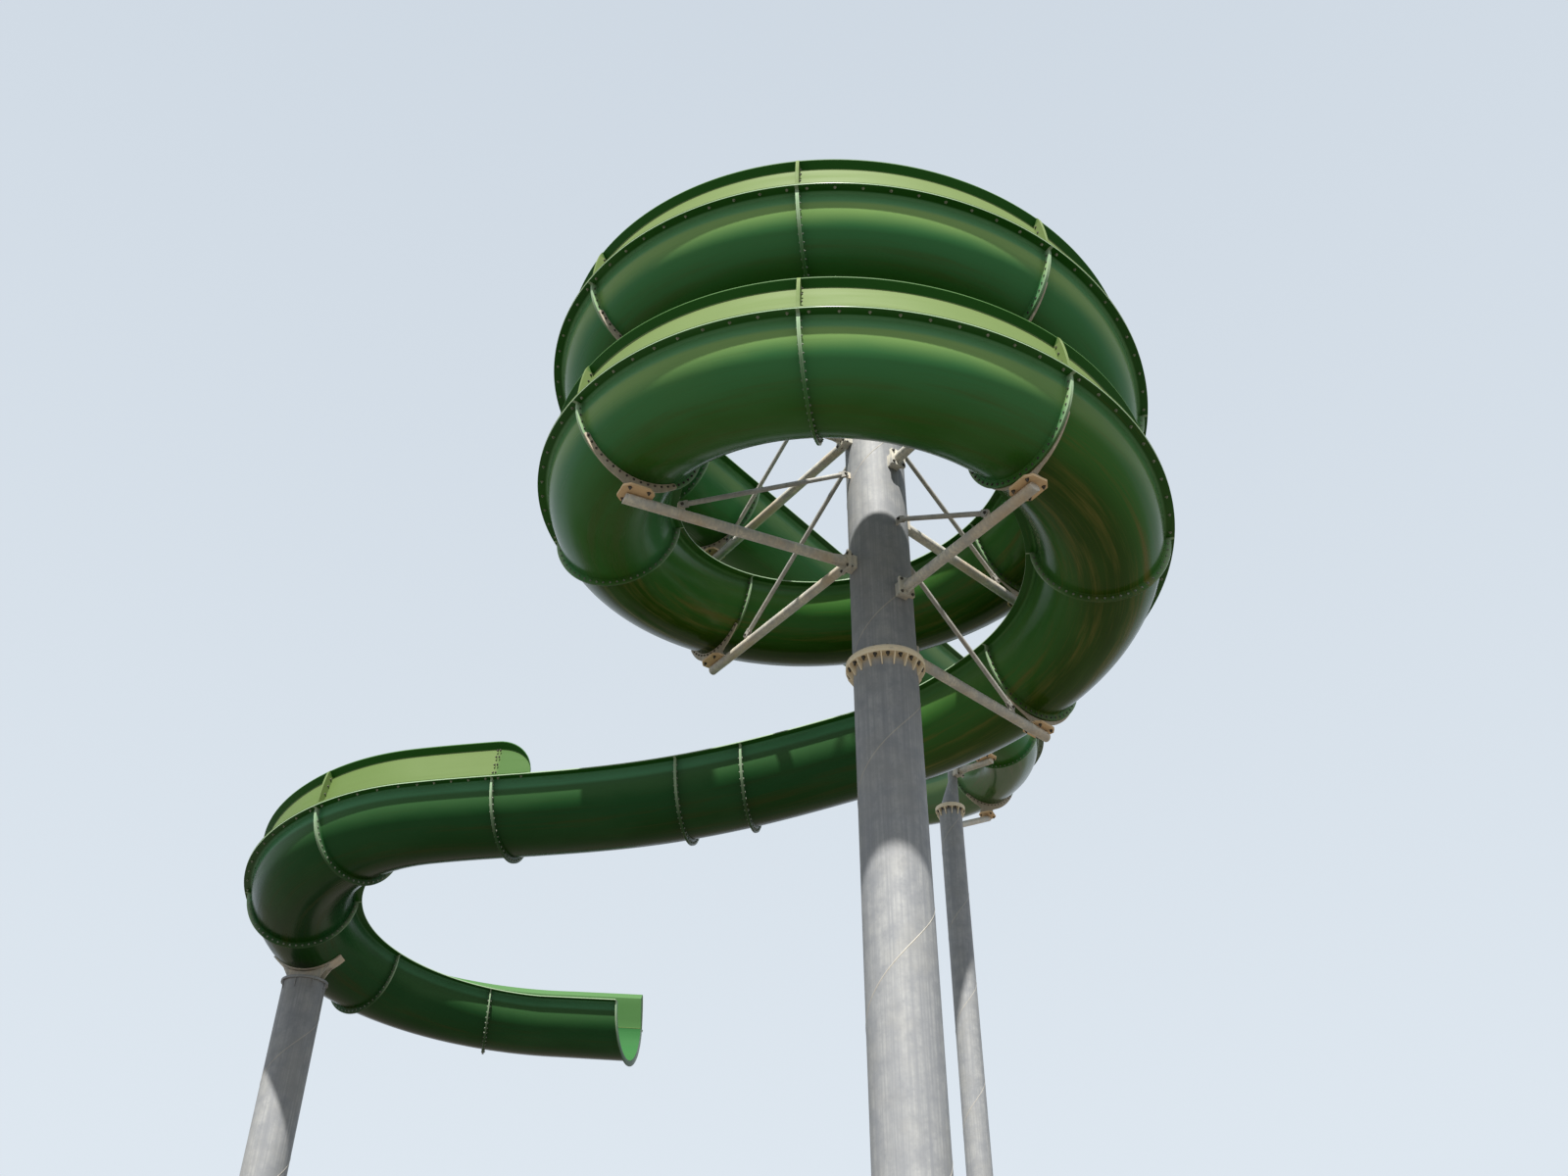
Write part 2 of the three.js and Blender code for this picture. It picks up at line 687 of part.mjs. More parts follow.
const columnFoot = BASE_PLATE.thickness + GAP;
add('column_lower', upright([
  [0, columnFoot],
  [COLUMN_RADIUS, columnFoot],
  [COLUMN_RADIUS, COLUMN_JOINT - COLUMN_FLANGE],
  [COLUMN_FLANGE_RADIUS, COLUMN_JOINT - COLUMN_FLANGE],
  [COLUMN_FLANGE_RADIUS, COLUMN_JOINT],
  [0, COLUMN_JOINT],
], COLUMN_SEGMENTS), galvanised);
add('column_upper', upright([
  [0, COLUMN_JOINT + GAP],
  [COLUMN_FLANGE_RADIUS, COLUMN_JOINT + GAP],
  [COLUMN_FLANGE_RADIUS, COLUMN_JOINT + GAP + COLUMN_FLANGE],
  [COLUMN_RADIUS, COLUMN_JOINT + GAP + COLUMN_FLANGE],
  [COLUMN_RADIUS, COLUMN_TOP],
  [0, COLUMN_TOP],
], COLUMN_SEGMENTS), galvanised);
basePlate('column_base', { x: 0, y: 0 }, COLUMN_RADIUS, BASE_PLATE);

// Arms on the column: the first one is under the entry run, the others under every
// second joint of the spiral

const columnCentre = { x: 0, y: 0 };
const armJoints = [
  entryArm,
  ...[-55, 35, 125, 215, 305, 395, 485].map(spiralDistance),
];
armJoints.forEach((joint, index) => {
  bracketArm(`arm_${index + 1}`, columnCentre, COLUMN_RADIUS, joint);
});

// Loop post, with a cradle that follows the shell

const loopPost = stationAt(loopPostDistance);
const cradleBottom = loopPost.z - TROUGH_RADIUS - CRADLE.stand;
const loopPostTop = cradleBottom - GAP;
add('loop_post', upright([
  [0, POST_PLATE.thickness + GAP],
  [LOOP_POST.radius, POST_PLATE.thickness + GAP],
  [LOOP_POST.radius, loopPostTop - LOOP_POST.cap],
  [LOOP_POST.cap_width / 2, loopPostTop - LOOP_POST.cap],
  [LOOP_POST.cap_width / 2, loopPostTop],
  [0, loopPostTop],
], COLUMN_SEGMENTS).translate(loopPost.x, loopPost.y, 0), galvanised);
basePlate('loop_post_base', loopPost, LOOP_POST.radius, POST_PLATE);

const cradleBand = () => {
  const arc = (radius) => {
    const all = halfRound(radius, RIM_THICKNESS);
    const middle = ARC_SEGMENTS / 2;
    return all.slice(middle - 2, middle + 3);
  };
  const outline = [
    ...arc(TROUGH_RADIUS + GAP * 1.5),
    ...arc(TROUGH_RADIUS + GAP * 1.5 + CRADLE.thickness).reverse(),
  ];
  return loft([outline, outline], cradleEnds);
};
const cradleStand = () => {
  const half = CRADLE.length;
  const outline = [
    corner(-half, -TROUGH_RADIUS - CRADLE.stand),
    corner(half, -TROUGH_RADIUS - CRADLE.stand),
    corner(half, -TROUGH_RADIUS + CRADLE.shoulder),
    corner(0, -TROUGH_RADIUS - CRADLE.thickness / 2),
    corner(-half, -TROUGH_RADIUS + CRADLE.shoulder),
  ];
  const level = { ...loopPost };
  const shift = forward(loopPost.heading);
  return loft([outline, outline], [-1, 1], (sign) => ({
    ...level,
    x: level.x + (shift.x * sign * CRADLE.thickness) / 2,
    y: level.y + (shift.y * sign * CRADLE.thickness) / 2,
  }));
};
add('loop_cradle', toGeometry(join([cradleBand(), cradleStand()])), galvanised);

// Entry post: a pipe with a bolted flange, and on it a tapered stub that leans to its neck.
// A short arm runs from the neck to the first joint of the run, and a strut from the pipe
// to a joint of the curve.

const entryPostCentre = { x: ENTRY_POST.x, y: ENTRY_POST.y };
const entryNeckCentre = { x: ENTRY_POST.x + ENTRY_STUB.lean, y: ENTRY_POST.y };
const entryPostTop =
  seamHeight(entryFirst) - TROUGH_RADIUS - ARM_DROP.column + ENTRY_STUB.above_arm;
const entryRing = entryPostTop - ENTRY_STUB.length;
const entryThroat = entryRing + COLUMN_FLANGE + ENTRY_STUB.throat_rise;
const entryNeck = entryPostTop - ENTRY_STUB.neck_length;
const entryPost = upright([
  [0, POST_PLATE.thickness + GAP],
  [ENTRY_POST.radius, POST_PLATE.thickness + GAP],
  [ENTRY_POST.radius, entryRing - COLUMN_FLANGE],
  [ENTRY_POST.flange, entryRing - COLUMN_FLANGE],
  [ENTRY_POST.flange, entryRing + COLUMN_FLANGE],
  [ENTRY_POST.radius, entryRing + COLUMN_FLANGE],
  [ENTRY_STUB.throat, entryThroat],
  [ENTRY_STUB.neck, entryNeck],
  [ENTRY_STUB.neck, entryPostTop],
  [0, entryPostTop],
], COLUMN_SEGMENTS).translate(ENTRY_POST.x, ENTRY_POST.y, 0);
const postPoints = entryPost.attributes.position;
for (let index = 0; index < postPoints.count; index += 1) {
  const height = postPoints.getZ(index);
  const share = THREE.MathUtils.clamp((height - entryThroat) / (entryNeck - entryThroat), 0, 1);
  postPoints.setX(index, postPoints.getX(index) + ENTRY_STUB.lean * share);
}
add('entry_post', entryPost, galvanised);
basePlate('entry_post_base', entryPostCentre, ENTRY_POST.radius, POST_PLATE);
bracketArm('entry_arm_1', entryNeckCentre, ENTRY_STUB.neck, entryFirst);
bracketArm('entry_arm_2', entryPostCentre, ENTRY_POST.radius, entryJoints[1], ENTRY_STRUT_DROP);

export default tower;
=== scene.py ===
"""Water slide tower: fine surfaces, fasteners and finishes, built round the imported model.

Metres, +Z up, with the origin at the centre of the column's base. Every piece is laid on the
same track as the model: a curve, a straight run, the spiral, the exit run and the loop.
"""
import math
import random

import bmesh
import bpy
import numpy as np
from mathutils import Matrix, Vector
from mathutils.geometry import tessellate_polygon


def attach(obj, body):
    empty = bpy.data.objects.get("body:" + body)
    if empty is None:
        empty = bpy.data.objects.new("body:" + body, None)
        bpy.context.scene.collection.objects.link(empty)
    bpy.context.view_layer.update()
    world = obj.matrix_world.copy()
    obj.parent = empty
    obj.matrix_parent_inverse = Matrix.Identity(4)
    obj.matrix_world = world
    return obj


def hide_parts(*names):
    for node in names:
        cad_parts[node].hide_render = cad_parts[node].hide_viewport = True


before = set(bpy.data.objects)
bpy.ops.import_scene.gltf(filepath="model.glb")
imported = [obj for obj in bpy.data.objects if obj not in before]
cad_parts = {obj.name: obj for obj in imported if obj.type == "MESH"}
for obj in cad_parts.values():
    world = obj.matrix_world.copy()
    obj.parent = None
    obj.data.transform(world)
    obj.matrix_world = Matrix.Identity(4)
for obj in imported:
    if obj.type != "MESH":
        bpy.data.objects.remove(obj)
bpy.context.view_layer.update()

# Track

TRACK_RADIUS = 2.376
PITCH = 1.561
SPIRAL_CENTRE = np.array((-0.277, 0.206, 0.0))
SPIRAL_START = -122.5
SPIRAL_END = 530.0
SEAM_HEIGHT_AT_ZERO = 11.150
ENTRY_CURVE = 101.25
ENTRY_RUN = 8.900
EXIT_RUN = 5.100
LOOP_TURN = 180.0
RUN_OUT = 1.060
JOINT_STEP = 45.0
SPIRAL_FIRST_JOINT = -100.0
ENTRY_LAST = 11.25
ENTRY_FIRST = 0.300
EXIT_JOINTS = (1.420, 2.120, 4.140)
LOOP_FIRST = 22.5
SAG_DEPTH = 0.300
SAG_FROM_HEADING = 485.0
SAG_TO_TURN = 22.5

# Flume

SHELL_OUTSIDE = 0.589
SHELL_INSIDE = 0.577
RIM_OUTSIDE = 0.691
RIM_THICKNESS = 0.014
JOINT_FLANGE = 0.065
JOINT_THICKNESS = 0.012
JOINT_GAP = 0.0002
SAME_PLACE = 0.01
FINE_STEP = 0.058
# Painted highlight on the rim's and flanges' edges: its share, and where round the shell it grows
EDGE_HIGHLIGHT_SHARE = 0.75
HIGHLIGHT_FROM = 0.30
HIGHLIGHT_OVER = 0.35
HIGHLIGHT_LEAST = 0.1
ARC_STEPS = 48
ROUND_STEPS = 4
INNER_ROUND = 0.010
RIM_ROUND = 0.0035
RIM_FILLET = 0.022
FLANGE_ROUND = 0.0025
FLANGE_FILLET = 0.009
TIGHT_FILLET = 0.006
ROUND_CUT = 0.3
WALL_TOP = 0.405
WALL_LEAN = 0.066
LIP_OUT = 0.056
LIP_RISE = 0.072
WALL_THICKNESS = 0.012
FOOT_FILLET = 0.016
FOLD_ROUND = 0.014
FIN_FOOT = 0.062
FIN_FULLNESS = 1.7
WALL_GAP = 0.00045
GUARD_LEAD = 0.400
SWEEP_LENGTH = 0.420
SWEEP_LOWEST = 0.12
SWEEP_STEPS = 12
SWEEP_CLEAR = 0.03
SWEEP_SHADE = 0.6
TIP_ROUND = 0.004
WALL_STEPS = 8
LIP_STEPS = 4
INNER_WALL_STEPS = 5
FIN_EDGE = 0.97
WALL_AROUND = 0.3

# Steelwork

COLUMN_CENTRE = np.zeros(3)
COLUMN_RADIUS = 0.292
COLUMN_TOP = 12.900
COLUMN_JOINT = 7.990
COLUMN_FLANGE_RADIUS = 0.358
COLUMN_FLANGE = 0.032
COLUMN_GUSSET = 0.100
ARM_RADIUS = 0.051
ARM_DROP = {"column": 0.170, "trough": 0.250}
ARM_OVERRUN = 0.095
TIE_RADIUS = 0.024
# Each arm's tie: its height above the arm at the column, and its share of the arm's length
TIES = {
    "arm_1": (1.750, 0.88),
    "arm_2": (1.300, 0.78),
    "arm_3": (1.300, 0.78),
    "arm_4": (1.300, 0.78),
    "arm_5": (1.500, 0.78),
    "arm_6": (1.300, 0.80),
    "arm_7": (1.020, 0.71),
    "arm_8": (1.370, 0.78),
}
ENTRY_POST = np.array((1.760, 9.250, 0.0))
ENTRY_POST_RADIUS = 0.181
ENTRY_RING_RADIUS = 0.236
ENTRY_STUB = {"length": 0.760, "throat": 0.148, "throat_rise": 0.040, "neck": 0.076,
              "neck_length": 0.240, "above_arm": 0.100, "lean": 0.080}
ENTRY_NECK = ENTRY_POST + (ENTRY_STUB["lean"], 0.0, 0.0)
ENTRY_STRUT_DROP = 1.400
LOOP_POST_HEADING = 84.0
LOOP_POST_RADIUS = 0.254
UP = np.array((0.0, 0.0, 1.0))


# The track: its legs from the upper end down, and the station at any distance along it

def right(heading):
    angle = math.radians(heading)
    return np.array((math.sin(angle), -math.cos(angle), 0.0))


def outwards(angle):
    """Level direction at an angle in radians."""
    return np.array((math.cos(angle), math.sin(angle), 0.0))


def forward(heading):
    return outwards(math.radians(heading))


def at_height(point, height):
    return np.array((point[0], point[1], height))


def arc_length(degrees):
    return TRACK_RADIUS * math.radians(degrees)


class Leg:
    """A curve or a straight of the track. turn is 1 to the left, -1 to the right, 0 straight."""

    def __init__(self, point, heading, turn, start, length):
        self.point = point
        self.heading = heading
        self.turn = turn
        self.start = start
        self.end = start + length

    def at(self, distance):
        gone = distance - self.start
        if self.turn == 0:
            return self.point + gone * forward(self.heading), self.heading
        heading = self.heading + self.turn * math.degrees(gone / TRACK_RADIUS)
        swing = right(heading) - right(self.heading)
        return self.point + self.turn * TRACK_RADIUS * swing, heading


def lay_track():
    spiral_start = SPIRAL_CENTRE + TRACK_RADIUS * right(SPIRAL_START)
    run_start = spiral_start - ENTRY_RUN * forward(SPIRAL_START)
    curve_centre = run_start + TRACK_RADIUS * right(SPIRAL_START)
    heading = SPIRAL_START + ENTRY_CURVE
    point = curve_centre - TRACK_RADIUS * right(heading)
    shapes = (
        ("entry_curve", -1, arc_length(ENTRY_CURVE)),
        ("entry_run", 0, ENTRY_RUN),
        ("spiral", 1, arc_length(SPIRAL_END - SPIRAL_START)),
        ("exit_run", 0, EXIT_RUN),
        ("loop", -1, arc_length(LOOP_TURN)),
        ("run_out", 0, RUN_OUT),
    )
    legs = {}
    travelled = 0.0
    for name, turn, length in shapes:
        leg = Leg(point, heading, turn, travelled, length)
        legs[name] = leg
        point, heading = leg.at(leg.end)
        travelled = leg.end
    return legs


LEGS = lay_track()


def spiral_distance(heading):
    return LEGS["spiral"].start + arc_length(heading - SPIRAL_START)


SAG_START = spiral_distance(SAG_FROM_HEADING)
SAG_LENGTH = LEGS["loop"].start + arc_length(SAG_TO_TURN) - SAG_START
SLOPE = PITCH / (2 * math.pi * TRACK_RADIUS)


def seam_height(distance):
    share = (distance - SAG_START) / SAG_LENGTH
    sag = SAG_DEPTH * math.sin(math.pi * share) ** 2 if 0 < share < 1 else 0.0
    return SEAM_HEIGHT_AT_ZERO - SLOPE * (distance - spiral_distance(0)) - sag


def station(distance):
    """Centre of the seam, side direction and heading at a distance along the track."""
    leg = next((leg for leg in LEGS.values() if distance < leg.end), LEGS["run_out"])
    point, heading = leg.at(distance)
    return point + seam_height(distance) * UP, right(heading), heading


def on_section(distance, profile):
    centre, side, _ = station(distance)
    flat = np.asarray(profile)
    return centre + flat[:, :1] * side + flat[:, 1:2] * UP


# Where the joints are

SPIRAL_HEADINGS = [SPIRAL_START] + [SPIRAL_FIRST_JOINT + JOINT_STEP * index for index in range(15)]
ARM_HEADINGS = (-55, 35, 125, 215, 305, 395, 485)
GUARD_HEADINGS = (SPIRAL_START, *ARM_HEADINGS, SPIRAL_END)
SPIRAL_JOINTS = [spiral_distance(heading) for heading in SPIRAL_HEADINGS]
ENTRY_RUN_FIRST = LEGS["entry_run"].start + ENTRY_FIRST
ENTRY_ARM_JOINT = LEGS["entry_run"].end - TRACK_RADIUS * math.tan(math.radians(JOINT_STEP / 2))
ENTRY_JOINTS = [
    0.0,
    LEGS["entry_curve"].end - arc_length(ENTRY_LAST + JOINT_STEP),
    LEGS["entry_curve"].end - arc_length(ENTRY_LAST),
    ENTRY_RUN_FIRST,
    (ENTRY_RUN_FIRST + ENTRY_ARM_JOINT) / 2,
    ENTRY_ARM_JOINT,
    LEGS["entry_run"].end,
]
EXIT_START = LEGS["exit_run"].start
LOOP_JOINTS = [
    LEGS["loop"].start + arc_length(LOOP_FIRST + JOINT_STEP * index) for index in range(4)
] + [LEGS["run_out"].end]
EXIT_STATIONS = [EXIT_START] + [EXIT_START + gone for gone in EXIT_JOINTS] + [LOOP_JOINTS[0]]


def named_sections():
    """Name and both ends of every trough section, from the upper end down."""
    runs = (("entry_{}", ENTRY_JOINTS), ("spiral_{:02d}", SPIRAL_JOINTS),
            ("exit_{}", EXIT_STATIONS), ("loop_{}", LOOP_JOINTS))
    for label, joints in runs:
        for number, (start, end) in enumerate(zip(joints, joints[1:]), 1):
            yield label.format(number), start, end


def named_guards():
    """Name, both ends and side of every guard wall. side is 1 on the right of travel."""
    yield "entry_guard", ENTRY_JOINTS[0], ENTRY_JOINTS[3], -1
    ends = [spiral_distance(heading) for heading in GUARD_HEADINGS]
    for number, (start, end) in enumerate(zip(ends, ends[1:]), 1):
        yield f"spiral_guard_{number}", start, end, 1
    yield "exit_guard", EXIT_STATIONS[3] - GUARD_LEAD, EXIT_STATIONS[4], -1
    yield "loop_guard_1", LOOP_JOINTS[0], LOOP_JOINTS[2], -1
    yield "loop_guard_2", LOOP_JOINTS[2], LOOP_JOINTS[4], -1


# Spiral sections with strong painted reflection streaks and painted shade on their darker undersides
PAINTED_REFLECTION_SECTIONS = [f"spiral_{number:02d}" for number in (6, 7, 8, 9, 13, 14, 15)]
ALL_JOINTS = sorted(set(SPIRAL_JOINTS + ENTRY_JOINTS + EXIT_STATIONS + LOOP_JOINTS))
COLUMN_JOINTS = [ENTRY_ARM_JOINT] + [spiral_distance(heading) for heading in ARM_HEADINGS]
CARRIED = {joint: COLUMN_CENTRE for joint in COLUMN_JOINTS}
CARRIED[ENTRY_RUN_FIRST] = ENTRY_NECK
CARRIED[ENTRY_JOINTS[1]] = ENTRY_POST


def horns(joint):
    """Degrees that the saddle at a joint reaches round from its lowest point, left and right."""
    support = next((CARRIED[place] for place in CARRIED if abs(place - joint) < SAME_PLACE), None)
    if support is None:
        return 0.0, 0.0
    seam, side, _ = station(joint)
    if (seam - support) @ side > 0:
        return INNER_HORN, OUTER_HORN
    return OUTER_HORN, INNER_HORN


# Meshes

# The values that finishes read at each point, and what they are where nothing else is given
POINT_VALUES = {"along": 0.0, "around": 0.0, "inside": 0.0, "stain": 0.0, "edge": 0.0, "sunny": 1.0}
SHARP_ANGLE = math.radians(32.0)
ROUND_LIMIT = 0.49
TINY = 1e-6
TUBE_WALL = 0.006
TUBE_EDGE = 0.0015
TUBE_STEP = 0.25


class Shape:
    """The points and faces of one piece, with the values that its finish reads at each point."""

    def __init__(self):
        self.points = []
        self.faces = []
        self.values = {label: [] for label in POINT_VALUES}

    def add(self, points, faces, **given):
        base = len(self.points)
        self.points.extend(tuple(point) for point in points)
        self.faces.extend(tuple(base + corner for corner in face) for face in faces)
        for label, plain in POINT_VALUES.items():
            self.values[label].extend(np.broadcast_to(given.get(label, plain), len(points)))

    def loft(self, rings):
        """Adds a skin through rings, each of them its points and its values by label."""
        size = len(rings[0][0])
        values = {}
        for label in rings[0][1]:
            values[label] = np.concatenate([np.broadcast_to(ring[label], size) for _, ring in rings])
        self.add(np.concatenate([points for points, _ in rings]), loft_faces(len(rings), size), **values)


def piece(name, shape, finish, slot, *nodes):
    """Makes one object from a shape; it rides on the part and stands for the nodes given."""
    mesh = bpy.data.meshes.new(name)
    mesh.from_pydata(shape.points, [], shape.faces)
    work = bmesh.new()
    work.from_mesh(mesh)
    bmesh.ops.recalc_face_normals(work, faces=work.faces)
    work.to_mesh(mesh)
    work.free()
    tone = random.Random(name).random()
    for label, numbers in dict(shape.values, tone=[tone] * len(shape.points)).items():
        layer = mesh.attributes.new(label, "FLOAT", "POINT")
        layer.data.foreach_set("value", np.asarray(numbers, np.float32))
    mesh.shade_smooth()
    mesh.set_sharp_from_angle(angle=SHARP_ANGLE)
    mesh.materials.append(FINISHES[finish])
    made = bpy.data.objects.new(name, mesh)
    bpy.context.scene.collection.objects.link(made)
    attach(made, "root")
    if nodes:
        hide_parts(*nodes)


def loft_faces(rings, count):
    """Faces of a loft through rings of count points each, with flat ends."""
    faces = []
    for low in range(0, (rings - 1) * count, count):
        for corner in range(count):
            after = (corner + 1) % count
            faces.append((low + corner, low + after, low + count + after, low + count + corner))
    faces.append(tuple(range(count))[::-1])
    faces.append(tuple(range((rings - 1) * count, rings * count)))
    return faces


def rounded(corners, radii, steps=ROUND_STEPS, closed=True):
    """A flat outline with its corners rounded; a radius of 0 keeps a corner sharp."""
    points = np.asarray(corners, float)
    count = len(points)
    made = []
    for index, radius in enumerate(radii):
        here = points[index]
        if radius == 0 or (not closed and index in (0, count - 1)):
            made.append(here)
            continue
        back = points[index - 1] - here
        ahead = points[(index + 1) % count] - here
        reach_back, reach_ahead = np.linalg.norm(back), np.linalg.norm(ahead)
        back /= reach_back
        ahead /= reach_ahead
        half = math.acos(np.clip(back @ ahead, -1, 1)) / 2
        reach = min(radius / math.tan(half), ROUND_LIMIT * reach_back, ROUND_LIMIT * reach_ahead)
        start, end = here + back * reach, here + ahead * reach
        for step in range(steps + 1):
            share = step / steps
            made.append(start * (1 - share) ** 2 + 2 * here * share * (1 - share) + end * share ** 2)
    return np.array(made)


def rounded_box(half_width, half_height, radius, steps=ROUND_STEPS, centre=(0.0, 0.0)):
    """Outline of a rectangle with rounded corners."""
    signs = ((-1, -1), (1, -1), (1, 1), (-1, 1))
    corners = [(centre[0] + x * half_width, centre[1] + y * half_height) for x, y in signs]
    return rounded(corners, (radius,) * 4, steps)


def polar(radius, angles):
    return np.stack((radius * np.cos(angles), radius * np.sin(angles)), 1)


def plate(shape, outline, origin, across, up, thickness, holes=(), stain=0.0):
    """A flat plate, thickness / 2 to each side of origin. across and up span its plane."""
    across, up = np.asarray(across, float), np.asarray(up, float)
    normal = np.cross(across, up)
    loops = [np.asarray(outline, float)] + [np.asarray(hole, float) for hole in holes]
    flat = np.concatenate(loops)
    middle = np.asarray(origin, float) + flat[:, :1] * across + flat[:, 1:2] * up
    points = np.concatenate((middle - normal * thickness / 2, middle + normal * thickness / 2))
    polygons = [[Vector((x, y, 0)) for x, y in loop] for loop in loops]
    triangles = tessellate_polygon(polygons)
    count = len(flat)
    faces = [tuple(face) for face in triangles]
    faces += [tuple(count + corner for corner in face) for face in triangles]
    base = 0
    for loop in loops:
        size = len(loop)
        for corner in range(size):
            after = (corner + 1) % size
            a, b = base + corner, base + after
            faces.append((a, b, count + b, count + a))
        base += size
    shape.add(points, faces, stain=stain)


def frame_of(axis):
    """Two directions at right angles to an axis and to each other, and the axis one long."""
    axis = np.asarray(axis, float) / np.linalg.norm(axis)
    across = np.cross(UP, axis)
    if np.linalg.norm(across) < TINY:
        across = np.array((1.0, 0.0, 0.0))
    across /= np.linalg.norm(across)
    return across, np.cross(axis, across), axis


def ring_spokes(across, up, count):
    """Angles of count even steps round a circle, and the spokes there."""
    angles = np.linspace(0, 2 * math.pi, count, endpoint=False)
    return angles, np.cos(angles)[:, None] * across + np.sin(angles)[:, None] * up


def lathe(shape, origin, axis, profile, segments):
    """A turned body: profile is (distance along the axis, radius, stain), from end to end."""
    across, up, axis = frame_of(axis)
    angles, spokes = ring_spokes(across, up, segments)
    rings = []
    for gone, radius, *stain in profile:
        values = {"along": gone, "around": angles * radius, "stain": stain[0] if stain else 0.0}
        rings.append((np.asarray(origin) + axis * gone + spokes * radius, values))
    shape.loft(rings)


def tube(shape, start, end, radius, segments, cut=0.0, recess=0.0):
    """A round tube. cut slants its far end, and recess is how deep its end cap sits."""
    across, up, axis = frame_of(end - start)
    if up[2] < 0:
        across, up = -across, -up
    length = np.linalg.norm(end - start)
    angles, spokes = ring_spokes(across, up, segments)
    slant = -cut * np.sin(angles)[:, None] * axis
    bore = radius - TUBE_WALL
    tips = [(length - TUBE_EDGE, radius), (length, radius - TUBE_EDGE)]
    if recess:
        tips += [(length, bore + TUBE_EDGE), (length - TUBE_EDGE, bore), (length - recess, bore)]
    stops = np.linspace(0, length, max(2, int(length / TUBE_STEP)))[:-1]
    rings = [(gone, start + axis * gone + spokes * radius) for gone in stops]
    for gone, size in tips:
        rings.append((gone, start + axis * gone + spokes * size + slant * (size / radius)))
    shape.loft([(points, {"along": gone, "around": angles * radius}) for gone, points in rings])


# Fasteners

# Width across the flats, height and washer radius of each kind of head or nut
JOINT_HEAD = (0.016, 0.007, 0.012)
SEAM_HEAD = (0.019, 0.008, 0.015)
STEEL_HEAD = (0.024, 0.012, 0.017)
STEEL_NUT = (0.024, 0.014, 0.017)
RING_HEAD = (0.028, 0.014, 0.020)
RING_NUT = (0.028, 0.018, 0.020)
CRADLE_HEAD = (0.030, 0.016, 0.022)
ANCHOR_NUT = (0.046, 0.030, 0.036)
WASHER_STEPS = 12
WASHER_SINK = 0.001
WASHER_HEIGHT = 0.0022
HEX_STEPS = 6
HEX_EDGE = 0.0015
HEX_TOP = 0.86
STUD_STEPS = 8
STUD_SHARE = 0.32
STUD_EDGE = 0.001
STUD_TOP = 0.8


def bolt(shape, origin, axis, size=SEAM_HEAD, thread=0.0):
    """A hexagon head or nut on a washer, standing up from origin. thread is the bolt's end."""
    width, height, washer = size
    across, up, axis = frame_of(axis)
    _, spokes = ring_spokes(across, up, WASHER_STEPS)
    shape.loft([(origin + axis * gone + spokes * washer, {}) for gone in (-WASHER_SINK, WASHER_HEIGHT)])
    _, spokes = ring_spokes(across, up, HEX_STEPS)
    corner = width / math.sqrt(3)
    high = WASHER_HEIGHT + height
    stops = ((WASHER_HEIGHT, 1), (high - HEX_EDGE, 1), (high, HEX_TOP))
    shape.loft([(origin + axis * gone + spokes * corner * share, {}) for gone, share in stops])
    if thread:
        stud, tip = width * STUD_SHARE, high + thread
        profile = [(high - STUD_EDGE, stud), (tip, stud), (tip + STUD_EDGE, stud * STUD_TOP)]
        lathe(shape, origin, axis, profile, STUD_STEPS)


def bolt_pair(shape, middle, axis, reaches, thread, sizes=(SEAM_HEAD, SEAM_HEAD)):
    """A head at the first reach from middle along the axis, a nut at the second against it."""
    bolt(shape, middle + axis * reaches[0], axis, sizes[0])
    bolt(shape, middle - axis * reaches[1], -axis, sizes[1], thread)


# Trough sections

def side_arc(radius, drop):
    """Half-round arc from the right side under the trough to the left one, drop below the seam."""
    lead = math.asin(drop / radius)
    return polar(radius, np.linspace(-lead, -math.pi + lead, ARC_STEPS + 1))


def rim_fillet(outside, fillet):
    """Points of the fillet between the rim's underside and the shell, from the rim inwards."""
    rise = RIM_THICKNESS + fillet
    centre = np.array((math.sqrt((outside + fillet) ** 2 - rise ** 2), -rise))
    ends = math.pi / 2, math.pi - math.atan2(rise, centre[0])
    return centre + polar(fillet, np.linspace(*ends, ROUND_STEPS + 1))


def trough_profile(lift, fillet):
    """Section of the shell and its rims, its place round the shell, its inside and its edge, marked for
    a painted highlight.
    """
    outside = SHELL_OUTSIDE + lift
    mirror = np.array((-1.0, 1.0))
    turn = np.linspace(math.pi / 2, math.pi, ROUND_STEPS + 1)
    lip = np.array((SHELL_INSIDE + INNER_ROUND, -INNER_ROUND)) + polar(INNER_ROUND, turn)
    inner = side_arc(SHELL_INSIDE, INNER_ROUND)[1:-1]
    edge = np.linspace(math.pi / 2, 0, ROUND_STEPS)
    top = np.array((RIM_OUTSIDE - RIM_ROUND, -RIM_ROUND)) + polar(RIM_ROUND, edge)
    low = top * (1, -1) - (0, RIM_THICKNESS)
    bend = rim_fillet(outside, fillet)
    outer = side_arc(outside, -bend[-1][1])[1:-1]
    groups = (
        (lip, 0.5),
        (inner, 1.0),
        ((lip * mirror)[::-1], 0.5),
        ((top * mirror), 0.0),
        ((low * mirror)[::-1], 0.0),
        ((bend * mirror), 0.0),
        (outer[::-1], 0.0),
        (bend[::-1], 0.0),
        (low, 0.0),
        (top[::-1], 0.0),
    )
    points = np.concatenate([group for group, _ in groups])
    inside = np.concatenate([np.full(len(group), value) for group, value in groups])
    angle = np.arctan2(points[:, 0], -points[:, 1] + TINY)
    across = np.abs(points[:, 0])
    around = angle * SHELL_OUTSIDE + np.sign(angle) * np.maximum(0, across - SHELL_OUTSIDE)
    # The rim's outer edge gets a painted highlight
    pale = (across > RIM_OUTSIDE - RIM_ROUND * 1.01) & (points[:, 1] > -RIM_THICKNESS * 0.95)
    return points, around, inside, EDGE_HIGHLIGHT_SHARE * pale


